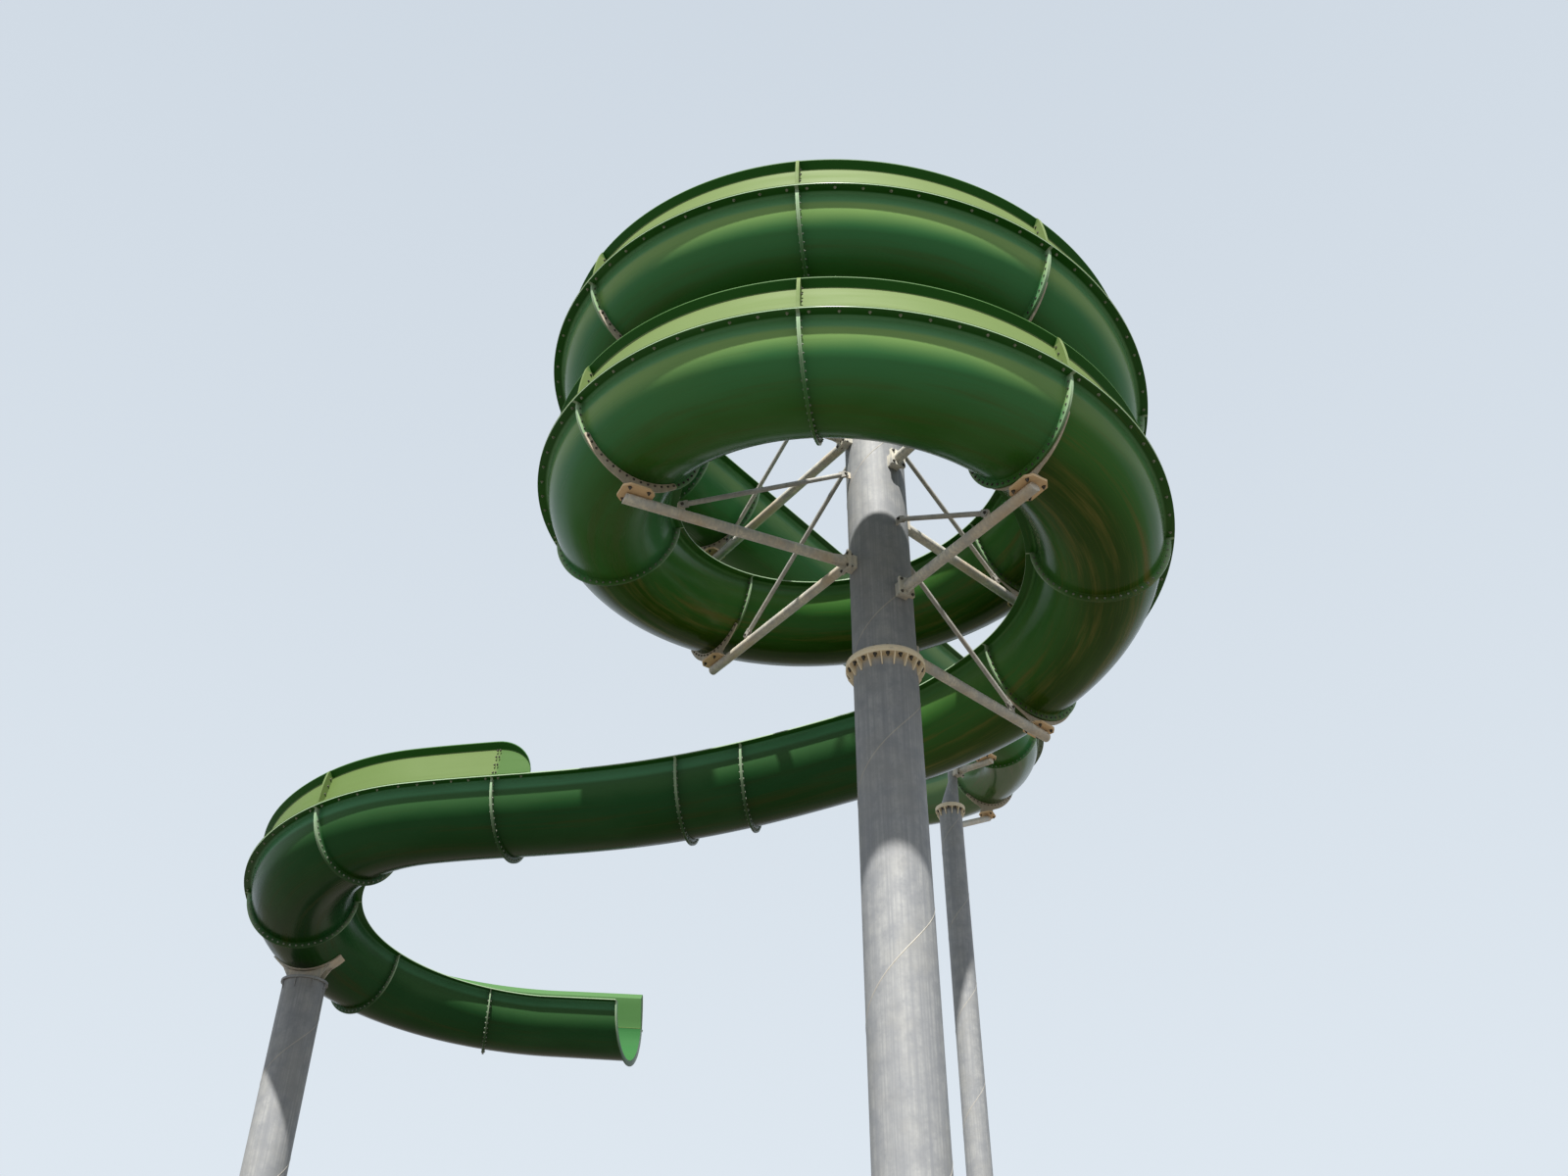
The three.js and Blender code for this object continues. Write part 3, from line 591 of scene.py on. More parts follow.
def flange_steps():
    """(distance from the joint, lift) of the rings that make a joint's flange and its fillet."""
    high, round_, deep = JOINT_FLANGE, FLANGE_ROUND, JOINT_THICKNESS
    steps = [
        (0, high - round_),
        (round_ * ROUND_CUT, high - round_ * ROUND_CUT),
        (round_, high),
        (deep - round_, high),
        (deep - round_ * ROUND_CUT, high - round_ * ROUND_CUT),
        (deep, high - round_),
    ]
    for angle in np.linspace(0, math.pi / 2, ROUND_STEPS):
        gone = deep + FLANGE_FILLET * (1 - math.cos(angle))
        steps.append((gone, FLANGE_FILLET * (1 - math.sin(angle))))
    return steps


def sun_on(distance, profile, inner_share):
    """How much each point of a section faces the sun, for sun bleaching and painted light: 0 away from
    it, 1 towards it.
    """
    _, side, _ = station(distance)
    turn = math.radians(SUN_AZIMUTH)
    facing = side @ np.array((-math.sin(turn), -math.cos(turn), 0.0))
    on_right = np.clip(SUNLIT_MIDDLE + SUNLIT_SPREAD * facing, 0.0, 1.0)
    on_left = np.clip(SUNLIT_MIDDLE - SUNLIT_SPREAD * facing, 0.0, 1.0) * inner_share
    return np.where(profile[:, 0] > 0, on_right, on_left)


def trough_section(name, start, end, finish):
    start, end = start + JOINT_GAP, end - JOINT_GAP
    steps = flange_steps()
    plain_start, plain_end = start + steps[-1][0], end - steps[-1][0]
    count = max(2, math.ceil((plain_end - plain_start) / FINE_STEP))
    places = [(start + gone, lift) for gone, lift in steps]
    places += [(gone, 0.0) for gone in np.linspace(plain_start, plain_end, count + 1)[1:-1]]
    places += [(end - gone, lift) for gone, lift in reversed(steps)]
    plain = trough_profile(0.0, RIM_FILLET)
    # The spiral's inner side, mostly in shade, gets less of this bleaching and painted light
    inner_share = SPIRAL_INNER_SUNLIT if name.startswith("spiral") else 1.0
    rings = []
    for distance, lift in places:
        flat, around, inside, edge = trough_profile(lift, TIGHT_FILLET) if lift > 0 else plain
        on_flange = (inside == 0) * (lift > JOINT_FLANGE / 2)
        # Flange edges get a painted highlight, lighter higher up round the shell where the light falls
        pale = EDGE_HIGHLIGHT_SHARE * np.clip((np.abs(around) - HIGHLIGHT_FROM) / HIGHLIGHT_OVER, HIGHLIGHT_LEAST, 1.0)
        rings.append((on_section(distance, flat), {
            "along": distance,
            "around": around,
            "inside": inside,
            "edge": np.maximum(edge, on_flange * pale),
            "sunny": sun_on(distance, flat, inner_share),
        }))
    shape = Shape()
    shape.loft(rings)
    piece(name + "_shell", shape, finish, "trough", name)


# Guard walls

def guard_profile(fin, rise=1.0):
    """Section of a guard wall on the right. fin is 1 on a joint's fin and 0 between joints."""
    base, foot = WALL_GAP, RIM_THICKNESS + WALL_GAP
    top = foot + (WALL_TOP - foot) * rise
    lean = WALL_LEAN * rise
    fold = np.array((SHELL_OUTSIDE - lean, top))
    tip = fold + (LIP_OUT * rise, LIP_RISE * rise)
    outer = rounded(
        ((RIM_OUTSIDE, foot), (SHELL_OUTSIDE, foot), fold, tip - (0, WALL_THICKNESS)),
        (0, FOOT_FILLET, FOLD_ROUND, 0),
        closed=False,
    )[1:-1]
    bend = outer[:ROUND_STEPS + 1]
    crease = outer[ROUND_STEPS + 1:]
    wall = np.linspace(bend[-1], crease[0], WALL_STEPS)[1:-1]
    lip = np.linspace(crease[-1], tip - (0, WALL_THICKNESS), LIP_STEPS)[1:]
    path = np.concatenate((bend, wall, crease, lip))
    height = (path[:, 1] - foot) / (tip[1] - foot)
    bulge = np.maximum(0, 1 - np.clip(height, 0, 1) ** FIN_FULLNESS) ** (1 / FIN_FULLNESS)
    fin_edge = tip[0] + (SHELL_OUTSIDE + FIN_FOOT - tip[0]) * bulge
    path[:, 0] += fin * np.maximum(0, fin_edge - path[:, 0])
    start = rounded(
        ((SHELL_INSIDE, base), (RIM_OUTSIDE, base), (RIM_OUTSIDE, foot), path[0]),
        (0, RIM_ROUND, RIM_ROUND, 0),
        closed=False,
    )[:-1]
    inward = (WALL_THICKNESS, 0)
    end = rounded(
        (path[-1], tip, tip - inward, fold - inward, (SHELL_INSIDE, foot)),
        (0, TIP_ROUND, TIP_ROUND, FOLD_ROUND, 0),
        closed=False,
    )[1:]
    inner_wall = np.linspace(end[-2], end[-1], INNER_WALL_STEPS)[1:-1]
    end = np.concatenate((end[:-1], inner_wall, end[-1:]))
    points = np.concatenate((start, path, end))
    inside = np.concatenate((np.zeros(len(start) + len(path)), np.ones(len(end))))
    # The lip's underside, away from the fins, is marked for painted shade (a dark green in the finish)
    under_lip = np.zeros(len(points))
    mid_fold = len(start) + len(bend) + len(wall) + ROUND_STEPS // 2 + 1
    under_lip[mid_fold:len(start) + len(path)] = 1.0
    return points, inside, under_lip * (1 - fin)


def guard_wall(name, start, end, side, finish):
    swept = name == "exit_guard"
    first = start + (0 if swept else JOINT_GAP)
    last = end - JOINT_GAP
    inner_joints = [joint for joint in ALL_JOINTS if start + SAME_PLACE < joint < end - SAME_PLACE]
    breaks = [] if swept else inner_joints
    round_, deep = FLANGE_ROUND, JOINT_THICKNESS
    edge = [(0, FIN_EDGE), (round_, 1.0), (deep - round_, 1.0), (deep, FIN_EDGE), (deep, 0.0)]
    if swept:
        turns = [math.pi / 2 * step / SWEEP_STEPS for step in range(SWEEP_STEPS)]
        fines = [first + SWEEP_LENGTH * (1 - math.cos(turn)) for turn in turns]
        fines += list(np.arange(first + SWEEP_LENGTH, last - SWEEP_CLEAR, FINE_STEP))
        places = []
    else:
        fines = list(np.linspace(first, last, math.ceil((last - first) / FINE_STEP) + 1)[1:-1])
        places = [(first + gone, fin) for gone, fin in edge]
    keep_off = deep * 2
    for distance in fines:
        clear = all(abs(distance - joint) > keep_off for joint in breaks + [last])
        if clear and (swept or distance - first > keep_off):
            places.append((distance, 0.0))
    for joint in breaks:
        places += [(joint - JOINT_GAP - gone, fin) for gone, fin in reversed(edge)]
        places += [(joint + JOINT_GAP + gone, fin) for gone, fin in edge]
    places += [(last - gone, fin) for gone, fin in reversed(edge)]
    rings = []
    for distance, fin in sorted(places, key=lambda place: place[0]):
        rise = 1.0
        if swept:
            share = min(1.0, max(0.0, (distance - first) / SWEEP_LENGTH))
            rise = SWEEP_LOWEST + (1 - SWEEP_LOWEST) * math.sqrt(1 - (1 - share) ** 2)
        flat, inside, under_lip = guard_profile(fin, rise)
        # The exit guard's end before the joint gets painted shade too
        shade = SWEEP_SHADE if swept and distance < EXIT_STATIONS[3] else 0.0
        rings.append((on_section(distance, flat * (side, 1)), {
            "along": distance,
            "around": WALL_AROUND + flat[:, 1],
            "inside": inside,
            "stain": np.maximum(under_lip, shade),
        }))
    shape = Shape()
    shape.loft(rings)
    piece(name + "_wall", shape, finish, "guard_wall", name)


# Bolts of the flume

SEAM_BOLT_SPACE = 0.200
SEAM_BOLT_OUT = 0.648
SEAM_BOLT_LEAD = 0.07
JOINT_BOLT_SPACE = 0.072
JOINT_BOLT_RADIUS = 0.624
JOINT_BOLT_LEAD = 0.08
FIN_BOLT_HEIGHTS = (0.075, 0.180, 0.285, 0.372)
FIN_BOLT_OUT = 0.026
SEAM_THREAD = 0.008
JOINT_THREAD = 0.005
FIN_THREAD = 0.006
JOINT_REACH = JOINT_THICKNESS + JOINT_GAP


def seam_bolts(shape, start, end):
    """Bolts through the rim and the guard wall's foot, head above and nut below."""
    for _, guard_start, guard_end, side in named_guards():
        low, high = max(start, guard_start) + SEAM_BOLT_LEAD, min(end, guard_end) - SEAM_BOLT_LEAD
        if high - low < SEAM_BOLT_SPACE:
            continue
        count = round((high - low) / SEAM_BOLT_SPACE)
        for distance in np.linspace(low, high, count + 1):
            seam = on_section(distance, [(side * SEAM_BOLT_OUT, 0.0)])[0]
            bolt_pair(shape, seam, UP, (RIM_THICKNESS + WALL_GAP, RIM_THICKNESS), SEAM_THREAD)


def joint_bolts(shape, joint):
    """Bolts round the shell at one joint. A saddle there lies under the lower nuts."""
    lead = JOINT_BOLT_LEAD / JOINT_BOLT_RADIUS
    count = round((math.pi * JOINT_BOLT_RADIUS - 2 * JOINT_BOLT_LEAD) / JOINT_BOLT_SPACE)
    left, right_horn = horns(joint)
    way = forward(station(joint)[2])
    for angle in np.linspace(lead, math.pi - lead, count + 1):
        flat = [(JOINT_BOLT_RADIUS * math.cos(angle), -JOINT_BOLT_RADIUS * math.sin(angle))]
        on_saddle = 1 - left < 90 - math.degrees(angle) < right_horn - 1
        nut_reach = JOINT_REACH + (SADDLE_THICKNESS if on_saddle else 0)
        centre = on_section(joint, flat)[0]
        reaches = (JOINT_REACH, nut_reach)
        bolt_pair(shape, centre, -way, reaches, JOINT_THREAD, (JOINT_HEAD, JOINT_HEAD))


def fin_bolts(shape, joint, side):
    """Bolts through the two fins of the guard wall at one joint."""
    way = forward(station(joint)[2])
    for height in FIN_BOLT_HEIGHTS:
        out = SHELL_OUTSIDE - WALL_LEAN * height / WALL_TOP + FIN_BOLT_OUT
        centre = on_section(joint, [(side * out, height)])[0]
        bolt_pair(shape, centre, -way, (JOINT_REACH, JOINT_REACH), FIN_THREAD)


# Saddles, arms and posts

SADDLE_THICKNESS = 0.012
INNER_HORN = 39.0
OUTER_HORN = 59.0
SADDLE_INNER = 0.596
SADDLE_DEEP = 0.702
SADDLE_TIP = 0.653
SADDLE_WEB = 0.115
SADDLE_FOOT = 0.150
WEB_CLEAR = 0.03
WEB_DROP = 0.006
CRESCENT_STEPS = 21
HORN_TAPER = 1.6
HORN_ROUND = 0.024
HORN_BOLT = 3.0
SEAT = 0.0003
HEAD_PLATE = 0.012
HEAD_OUTLINE = ((-0.150, -0.075), (-0.095, -0.125), (0.095, -0.125), (0.150, -0.075),
                (0.150, 0.075), (0.095, 0.125), (-0.095, 0.125), (-0.150, 0.075))
HEAD_ROUND = 0.006
HEAD_BOLTS = [(x, y) for x in (-0.088, 0.088) for y in (-0.088, 0.088)]
HEAD_SLOT = (0.022, 0.009, 0.009)
# Gussets and stiffeners: how deep the foot is sunk, length, height of the edge, top and height
SADDLE_RIB = (0.0, 0.075, 0.018, 0.012, 0.055)
RIB_THICKNESS = 0.010
# Two plates bolted together: from the first one's middle to the second's and to its outer face
PLATE_PITCH = 1.02
PLATE_FACE = 1.52
STEEL_THREAD = 0.012
TUBE_SUNK = 0.004
TUBE_SLANT = 0.012
ARM_SIDES = 28
TIE_SIDES = 20
END_PLATE = {"width": 0.165, "height": 0.190, "thickness": 0.014, "stand": 0.070, "round": 0.010}
END_BOLTS = (0.024, 0.026)
END_THREAD = 0.010
STUB = {"margin": 0.05, "round": 0.002, "inset": 0.03, "curve": 0.06}
LEAST_ARM = 0.45
BRACKET_AT = 0.08
ARM_RIB = {"length": 0.150, "sunk": 0.006, "tip": 0.012, "inset": 0.012}
EYE_HEIGHT = 0.060
TIE_END = 0.060
TIE_LUG = {"radius": 0.030, "reach": 0.075, "thickness": 0.008}
TIE_LUG_OUT = 0.0125
EYE_LUG = {"radius": 0.036, "reach": 0.075, "thickness": 0.015}
ARM_EYE_LUG = {"radius": 0.036, "reach": EYE_HEIGHT + 0.010, "thickness": 0.015}
EYE_FACE = 0.017
EYE_THREAD = 0.006
LUG_STEPS = 11
RING_BOLTS_AT = 0.55
RING_THREAD = 0.016
COLUMN_RING_BOLTS = 18
ENTRY_RING_BOLTS = 12
RIB_SUNK = 0.004
RIB_EDGE = 0.018
RIB_TIP = 0.010
# Weld line of a spiral welded pipe
BEAD = 0.0045
BEAD_SUNK = 0.45
BEAD_STEPS = 64
BEAD_CORNERS = 6
BEAD_STAIN = 0.2
BEAD_LOWEST = 0.4
BEAD_CLEAR = 0.2
# Its rise in each turn, and the angle at which it starts
LOWER_BEAD = (1.9, 1.2)
UPPER_BEAD = (1.9, 3.4)
LOOP_POST_BEAD = (1.6, 0.4)
ENTRY_POST_BEAD = (1.4, 2.0)
LOWER_BEAD_CLEAR = 0.22
UPPER_BEAD_CLEAR = 0.1
# Rust under the column's joint: how far below it, as a share of the gusset, and how strong
JOINT_RUST = ((0.5, 0.2), (0.1, 0.7), (0.0, 1.0))
DISC_ROUND = 0.002
PIPE_EDGE = 0.004
PIPE_STEP = 0.5
COLUMN_BASE = {"width": 1.000, "thick": 0.040}
POST_BASE = {"width": 0.760, "thick": 0.030}
BASE_EDGE = 0.004
BASE_ROUND = 0.02
BASE_RIB = (0.006, 0.150, 0.035, 0.020, 0.260)
BASE_RIB_THICKNESS = 0.016
BASE_RIBS = 8
BASE_RIB_GAP = 0.0006
ANCHOR_INSET = 0.07
ANCHOR_THREAD = 0.035
COLUMN_SIDES = 96
LOOP_POST_SIDES = 80
ENTRY_POST_SIDES = 64
LOOP_CAP = {"thick": 0.030, "radius": 0.280}
CAP_RIB = (0.004, 0.022, 0.012, 0.006, 0.110)
CAP_RIBS = 8
CRADLE_STAND = 0.130
CRADLE_GAP = 0.00045
CRADLE_ARC_STEPS = 25
CRADLE_RINGS = 5
CRADLE_INSET = 4
CRADLE_BAND = {"thick": 0.016, "half_length": 0.09, "half_angle": 45}
CRADLE_WEB = {"out": 0.055, "thick": 0.012, "foot": 0.190, "overlap": 1.004}
CRADLE_PLATE = (0.20, 0.12, 0.015)
CRADLE_PLATE_THICK = 0.014
CRADLE_BOLTS = [(x, y) for x in (-0.165, 0.165) for y in (-0.088, 0.088)]
ENTRY_RING_THICK = 0.032
ENTRY_GUSSET = 0.11
ENTRY_GROOVE = 0.0015
ENTRY_EDGE = 0.003
ENTRY_STAIN = 0.8
ENTRY_SLOPE_ROUND = (0.03, 0.004)


def crescent_outline(foot_level, left, right_horn):
    """Outline of a saddle plate in its section: a crescent with a horn on each side and a web."""
    inner, outer = [], []
    for turn in np.linspace(-left, right_horn, CRESCENT_STEPS):
        angle = math.radians(turn - 90)
        share = turn / (left if turn < 0 else right_horn)
        depth = SADDLE_TIP + (SADDLE_DEEP - SADDLE_TIP) * math.cos(share * math.pi / 2) ** HORN_TAPER
        inner.append((SADDLE_INNER * math.cos(angle), SADDLE_INNER * math.sin(angle)))
        outer.append((depth * math.cos(angle), depth * math.sin(angle)))
    left_side = [point for point in outer if point[0] < -SADDLE_WEB - WEB_CLEAR]
    right_side = [point for point in outer if point[0] > SADDLE_WEB + WEB_CLEAR]
    web = [
        (-SADDLE_WEB, -SADDLE_DEEP - WEB_DROP),
        (-SADDLE_FOOT, foot_level),
        (SADDLE_FOOT, foot_level),
        (SADDLE_WEB, -SADDLE_DEEP - WEB_DROP),
    ]
    return inner[::-1] + left_side + web + right_side


def saddle(shape, bolts, joint, away, arm_height):
    """Saddle under one joint: crescent plate, two head plates bolted together, and stiffeners."""
    _, side, heading = station(joint)
    way = forward(heading)
    near = joint + JOINT_GAP + JOINT_THICKNESS + SEAT + SADDLE_THICKNESS / 2
    centre, _, _ = station(near)
    upper = arm_height + ARM_RADIUS - TUBE_SUNK + HEAD_PLATE * 1.5
    foot_level = upper + HEAD_PLATE / 2 - centre[2]
    left, right_horn = horns(joint)
    outline = crescent_outline(foot_level, left, right_horn)
    radii = [0.0] * len(outline)
    for tip in (0, CRESCENT_STEPS - 1, CRESCENT_STEPS, len(outline) - 1):
        radii[tip] = HORN_ROUND
    plate(shape, rounded(outline, radii, 3), centre, side, UP, SADDLE_THICKNESS)
    # The head plates are turned along the arm, and centred below the crescent
    along_arm = outwards(away)
    across_arm = np.cross(UP, along_arm)
    under = centre - (centre[2] - upper) * UP
    head = rounded(HEAD_OUTLINE, (HEAD_ROUND,) * len(HEAD_OUTLINE), 2)
    slots = [rounded_box(*HEAD_SLOT, 3, place) for place in HEAD_BOLTS]
    for middle in (under, under - HEAD_PLATE * PLATE_PITCH * UP):
        plate(shape, head, middle, along_arm, across_arm, HEAD_PLATE, slots, stain=1.0)
    for x, y in HEAD_BOLTS:
        spot = under + along_arm * x + across_arm * y
        reaches = (HEAD_PLATE / 2, HEAD_PLATE * PLATE_FACE)
        bolt_pair(bolts, spot, UP, reaches, STEEL_THREAD, (STEEL_HEAD, STEEL_NUT))
    # Stiffeners behind and in front of the crescent, down to the upper head plate
    for sign in (-1, 1):
        start = centre + way * sign * SADDLE_THICKNESS / 2 + foot_level * UP
        plate(shape, rib_outline(*SADDLE_RIB), start, way * sign, UP, RIB_THICKNESS)
    for place in (HORN_BOLT - left, right_horn - HORN_BOLT):
        angle = math.radians(place - 90)
        flat = [(JOINT_BOLT_RADIUS * math.cos(angle), JOINT_BOLT_RADIUS * math.sin(angle))]
        spot = on_section(near, flat)[0] + way * SADDLE_THICKNESS / 2
        bolt(bolts, spot, way, thread=FIN_THREAD)


def bracket(shape, bolts, support, radius, away, height):
    """Bracket on a round support: a short box with an end plate that the arm is bolted to."""
    outward = outwards(away)
    across = np.cross(UP, outward)
    origin = at_height(support, height)
    width, tall = END_PLATE["width"], END_PLATE["height"]
    thick, stand = END_PLATE["thickness"], END_PLATE["stand"]
    inset = radius * STUB["curve"] + STUB["inset"]
    middle = origin + outward * (radius + (stand - inset) / 2)
    stub = rounded_box((width - STUB["margin"]) / 2, (tall - STUB["margin"]) / 2, STUB["round"], 2)
    plate(shape, stub, middle, across, UP, stand + inset)
    outline = rounded_box(width / 2, tall / 2, END_PLATE["round"], 3)
    first = radius + stand + thick / 2
    for out in (first, first + thick * PLATE_PITCH):
        plate(shape, outline, origin + outward * out, across, UP, thick)
    face = first + thick * PLATE_FACE
    for x in (-1, 1):
        for y in (-1, 1):
            spot = origin + across * x * (width / 2 - END_BOLTS[0]) + UP * y * (tall / 2 - END_BOLTS[1])
            reaches = (face, thick / 2 - first)
            bolt_pair(bolts, spot, outward, reaches, END_THREAD, (STEEL_HEAD, STEEL_NUT))
    return face


def rib_outline(sunk, length, edge, tip, height):
    """Outline of a gusset: foot sunk into its seat, low outer edge, and the narrow top."""
    return ((-sunk, 0), (length, 0), (length, edge), (tip, height), (-sunk, height))


def lug(shape, origin, along, up, radius, reach, thickness):
    """A plate with a round end at origin, which runs back by reach along its own direction."""
    angles = np.linspace(-math.pi / 2, math.pi / 2, LUG_STEPS)
    outline = [(radius * math.cos(angle), radius * math.sin(angle)) for angle in angles]
    outline += [(-reach, radius), (-reach, -radius)]
    plate(shape, outline, origin, along, up, thickness)


def tie(rod, steel, bolts, high, meet, outward, radius):
    """A tie between two eyes: one by a support of that radius, below high, the other at meet."""
    towards = meet - high
    towards /= np.linalg.norm(towards)
    upper = high + towards * ((radius + TIE_END) / (towards @ outward))
    across = np.cross(towards, outward)
    across /= np.linalg.norm(across)
    normal_up = np.cross(across, towards)
    tube(rod, upper + towards * TIE_END, meet - towards * TIE_END, TIE_RADIUS, TIE_SIDES)
    for place, way in ((upper, -towards), (meet, towards)):
        for sign in (-1, 1):
            lug(rod, place + across * TIE_LUG_OUT * sign, way, normal_up * sign, **TIE_LUG)
        bolt(bolts, place + across * EYE_FACE, across, STEEL_HEAD, EYE_THREAD)
        bolt(bolts, place - across * EYE_FACE, -across, STEEL_HEAD)
    lug(steel, upper, outward, np.cross(across, outward), **EYE_LUG)
    lug(steel, meet, UP, np.cross(across, UP), **ARM_EYE_LUG)


def arm(name, support, radius, joint, root_drop=ARM_DROP["column"]):
    """Arm from a round support to the saddle under one joint, with the tie above it."""
    seam, _, _ = station(joint)
    bottom = seam[2] - SHELL_OUTSIDE
    away = math.atan2(seam[1] - support[1], seam[0] - support[0])
    reach = math.hypot(seam[0] - support[0], seam[1] - support[1])
    outward = outwards(away)
    root, tip_height = bottom - root_drop, bottom - ARM_DROP["trough"]
    tip_reach = reach + ARM_OVERRUN

    def axis(distance):
        height = root + (tip_height - root) * (distance / tip_reach)
        return at_height(support, height) + outward * distance

    steel, bolts, head, rod = Shape(), Shape(), Shape(), Shape()
    short = reach - radius < LEAST_ARM
    face = radius + TUBE_SUNK
    if not short:
        face = bracket(steel, bolts, support, radius, away, axis(radius + BRACKET_AT)[2])
    start, end = axis(face), axis(tip_reach)
    tube(steel, start, end, ARM_RADIUS, ARM_SIDES, TUBE_SLANT, TUBE_SUNK)
    if not short:
        direction = (end - start) / np.linalg.norm(end - start)
        lift = np.cross(direction, np.cross(UP, direction))
        low, tip = ARM_RADIUS - ARM_RIB["sunk"], ARM_RADIUS + ARM_RIB["sunk"]
        half = END_PLATE["height"] / 2 - ARM_RIB["inset"]
        rib = [(0, low), (ARM_RIB["length"], low), (ARM_RIB["length"], tip),
               (ARM_RIB["tip"], half), (0, half)]
        for sign in (-1, 1):
            plate(steel, rib, start, direction, lift * sign, RIB_THICKNESS)
    if name in TIES:
        rise, share = TIES[name]
        meet = axis(radius + (reach - radius) * share) + UP * (ARM_RADIUS + EYE_HEIGHT)
        high = at_height(support, root + rise)
        tie(rod, steel, bolts, high, meet, outward, radius)
        piece(name + "_tie", rod, "tie", "bracket")
    saddle(head, bolts, joint, away, axis(reach)[2])
    piece(name + "_tube", steel, "arm", "bracket", name)
    piece(name + "_saddle", head, "saddle", "bracket")
    piece(name + "_bolts", bolts, "dark_bolt", "bracket")


def bolted_ring(shape, bolts, centre, joint, pipe, outside, thick, count, gusset):
    """Flange joint of a round post, with a gusset between each two bolts under it."""
    out = outside - pipe
    rib = rib_outline(RIB_SUNK, out - RIB_SUNK, RIB_EDGE, RIB_TIP, gusset)
    for number in range(count):
        outward = outwards(2 * math.pi * (number + 0.5) / count)
        spot = centre + outward * (pipe + out * RING_BOLTS_AT)
        reaches = (joint + thick, thick - joint)
        bolt_pair(bolts, spot, UP, reaches, RING_THREAD, (RING_HEAD, RING_NUT))
        outward = outwards(2 * math.pi * number / count)
        origin = centre + outward * pipe + (joint - thick) * UP
        plate(shape, rib, origin, outward, -UP, RIB_THICKNESS, stain=1.0)


def weld_bead(shape, centre, radius, low, high, lead, start_angle):
    """The raised helical weld line of a spiral welded pipe."""
    turns = (high - low) / lead
    count = int(turns * BEAD_STEPS)
    corners = np.linspace(0, 2 * math.pi, BEAD_CORNERS, endpoint=False)
    rings = []
    for step in range(count + 1):
        share = step / count
        outward = outwards(start_angle + 2 * math.pi * turns * share)
        spot = centre + outward * (radius - BEAD * BEAD_SUNK) + (low + (high - low) * share) * UP
        ring = [spot + outward * BEAD * math.cos(corner) + UP * BEAD * 2 * math.sin(corner)
                for corner in corners]
        rings.append((ring, {"stain": BEAD_STAIN}))
    shape.loft(rings)


def pipe_profile(low, high, radius):
    """Outside of a plain pipe with slightly rounded ends and a ring every so often."""
    count = max(2, round((high - low) / PIPE_STEP))
    heights = np.linspace(low + PIPE_EDGE, high - PIPE_EDGE, count + 1)
    middle = [(height, radius) for height in heights]
    return [(low, radius - PIPE_EDGE)] + middle + [(high, radius - PIPE_EDGE)]


def disc(low, high, radius, stains=(1.0,) * 4):
    """Rows of a turned profile for a flange with slightly rounded edges."""
    inner = radius - DISC_ROUND
    rows = ((low, inner), (low + DISC_ROUND, radius), (high - DISC_ROUND, radius), (high, inner))
    return [(*row, stain) for row, stain in zip(rows, stains)]


def column():
    lower, upper, bolts = Shape(), Shape(), Shape()
    below, above = COLUMN_JOINT - COLUMN_FLANGE, COLUMN_JOINT + COLUMN_FLANGE
    low_pipe = pipe_profile(COLUMN_BASE["thick"] + SEAT, below - COLUMN_GUSSET, COLUMN_RADIUS)[:-1]
    low_pipe += [(below - COLUMN_GUSSET * gone, COLUMN_RADIUS, rust) for gone, rust in JOINT_RUST]
    low_flange = disc(below, COLUMN_JOINT, COLUMN_FLANGE_RADIUS)
    lathe(lower, COLUMN_CENTRE, UP, low_pipe + low_flange, COLUMN_SIDES)
    high_pipe = [(above, COLUMN_RADIUS)] + pipe_profile(above, COLUMN_TOP, COLUMN_RADIUS)[1:]
    high_flange = disc(COLUMN_JOINT + SEAT, above, COLUMN_FLANGE_RADIUS, (1.0, 1.0, 0.6, 0.3))
    lathe(upper, COLUMN_CENTRE, UP, high_flange + high_pipe, COLUMN_SIDES)
    bolted_ring(lower, bolts, COLUMN_CENTRE, COLUMN_JOINT, COLUMN_RADIUS, COLUMN_FLANGE_RADIUS,
                COLUMN_FLANGE, COLUMN_RING_BOLTS, COLUMN_GUSSET)
    ends = (BEAD_LOWEST, COLUMN_JOINT - LOWER_BEAD_CLEAR)
    weld_bead(lower, COLUMN_CENTRE, COLUMN_RADIUS, *ends, *LOWER_BEAD)
    ends = (COLUMN_JOINT + UPPER_BEAD_CLEAR, COLUMN_TOP - UPPER_BEAD_CLEAR)
    weld_bead(upper, COLUMN_CENTRE, COLUMN_RADIUS, *ends, *UPPER_BEAD)
    piece("column_lower_pipe", lower, "column", "column", "column_lower")
    piece("column_upper_pipe", upper, "column", "column", "column_upper")
    piece("column_joint_bolts", bolts, "dark_bolt", "column")


def base(name, centre, radius, width, thick):
    """Base plate with gussets and anchor bolts round a post."""
    shape, bolts = Shape(), Shape()
    half = width / 2
    for low, high, reach in ((0, thick - BASE_EDGE, half), (thick - BASE_EDGE, thick, half - BASE_EDGE)):
        middle = at_height(centre, (low + high) / 2)
        outline = rounded_box(reach, reach, BASE_ROUND)
        plate(shape, outline, middle, (1, 0, 0), (0, 1, 0), high - low)
    for number in range(BASE_RIBS):
        outward = outwards(2 * math.pi * number / BASE_RIBS)
        origin = at_height(centre, thick) + outward * (radius + BASE_RIB_GAP)
        plate(shape, rib_outline(*BASE_RIB), origin, outward, UP, BASE_RIB_THICKNESS)
    reach = half - ANCHOR_INSET
    for x in (-1, 0, 1):
        for y in (-1, 0, 1):
            if x or y:
                spot = np.array((centre[0] + x * reach, centre[1] + y * reach, thick))
                bolt(bolts, spot, UP, ANCHOR_NUT, ANCHOR_THREAD)
    piece(name + "_plate", shape, "column", "column", name)
    piece(name + "_bolts", bolts, "bolt", "column")


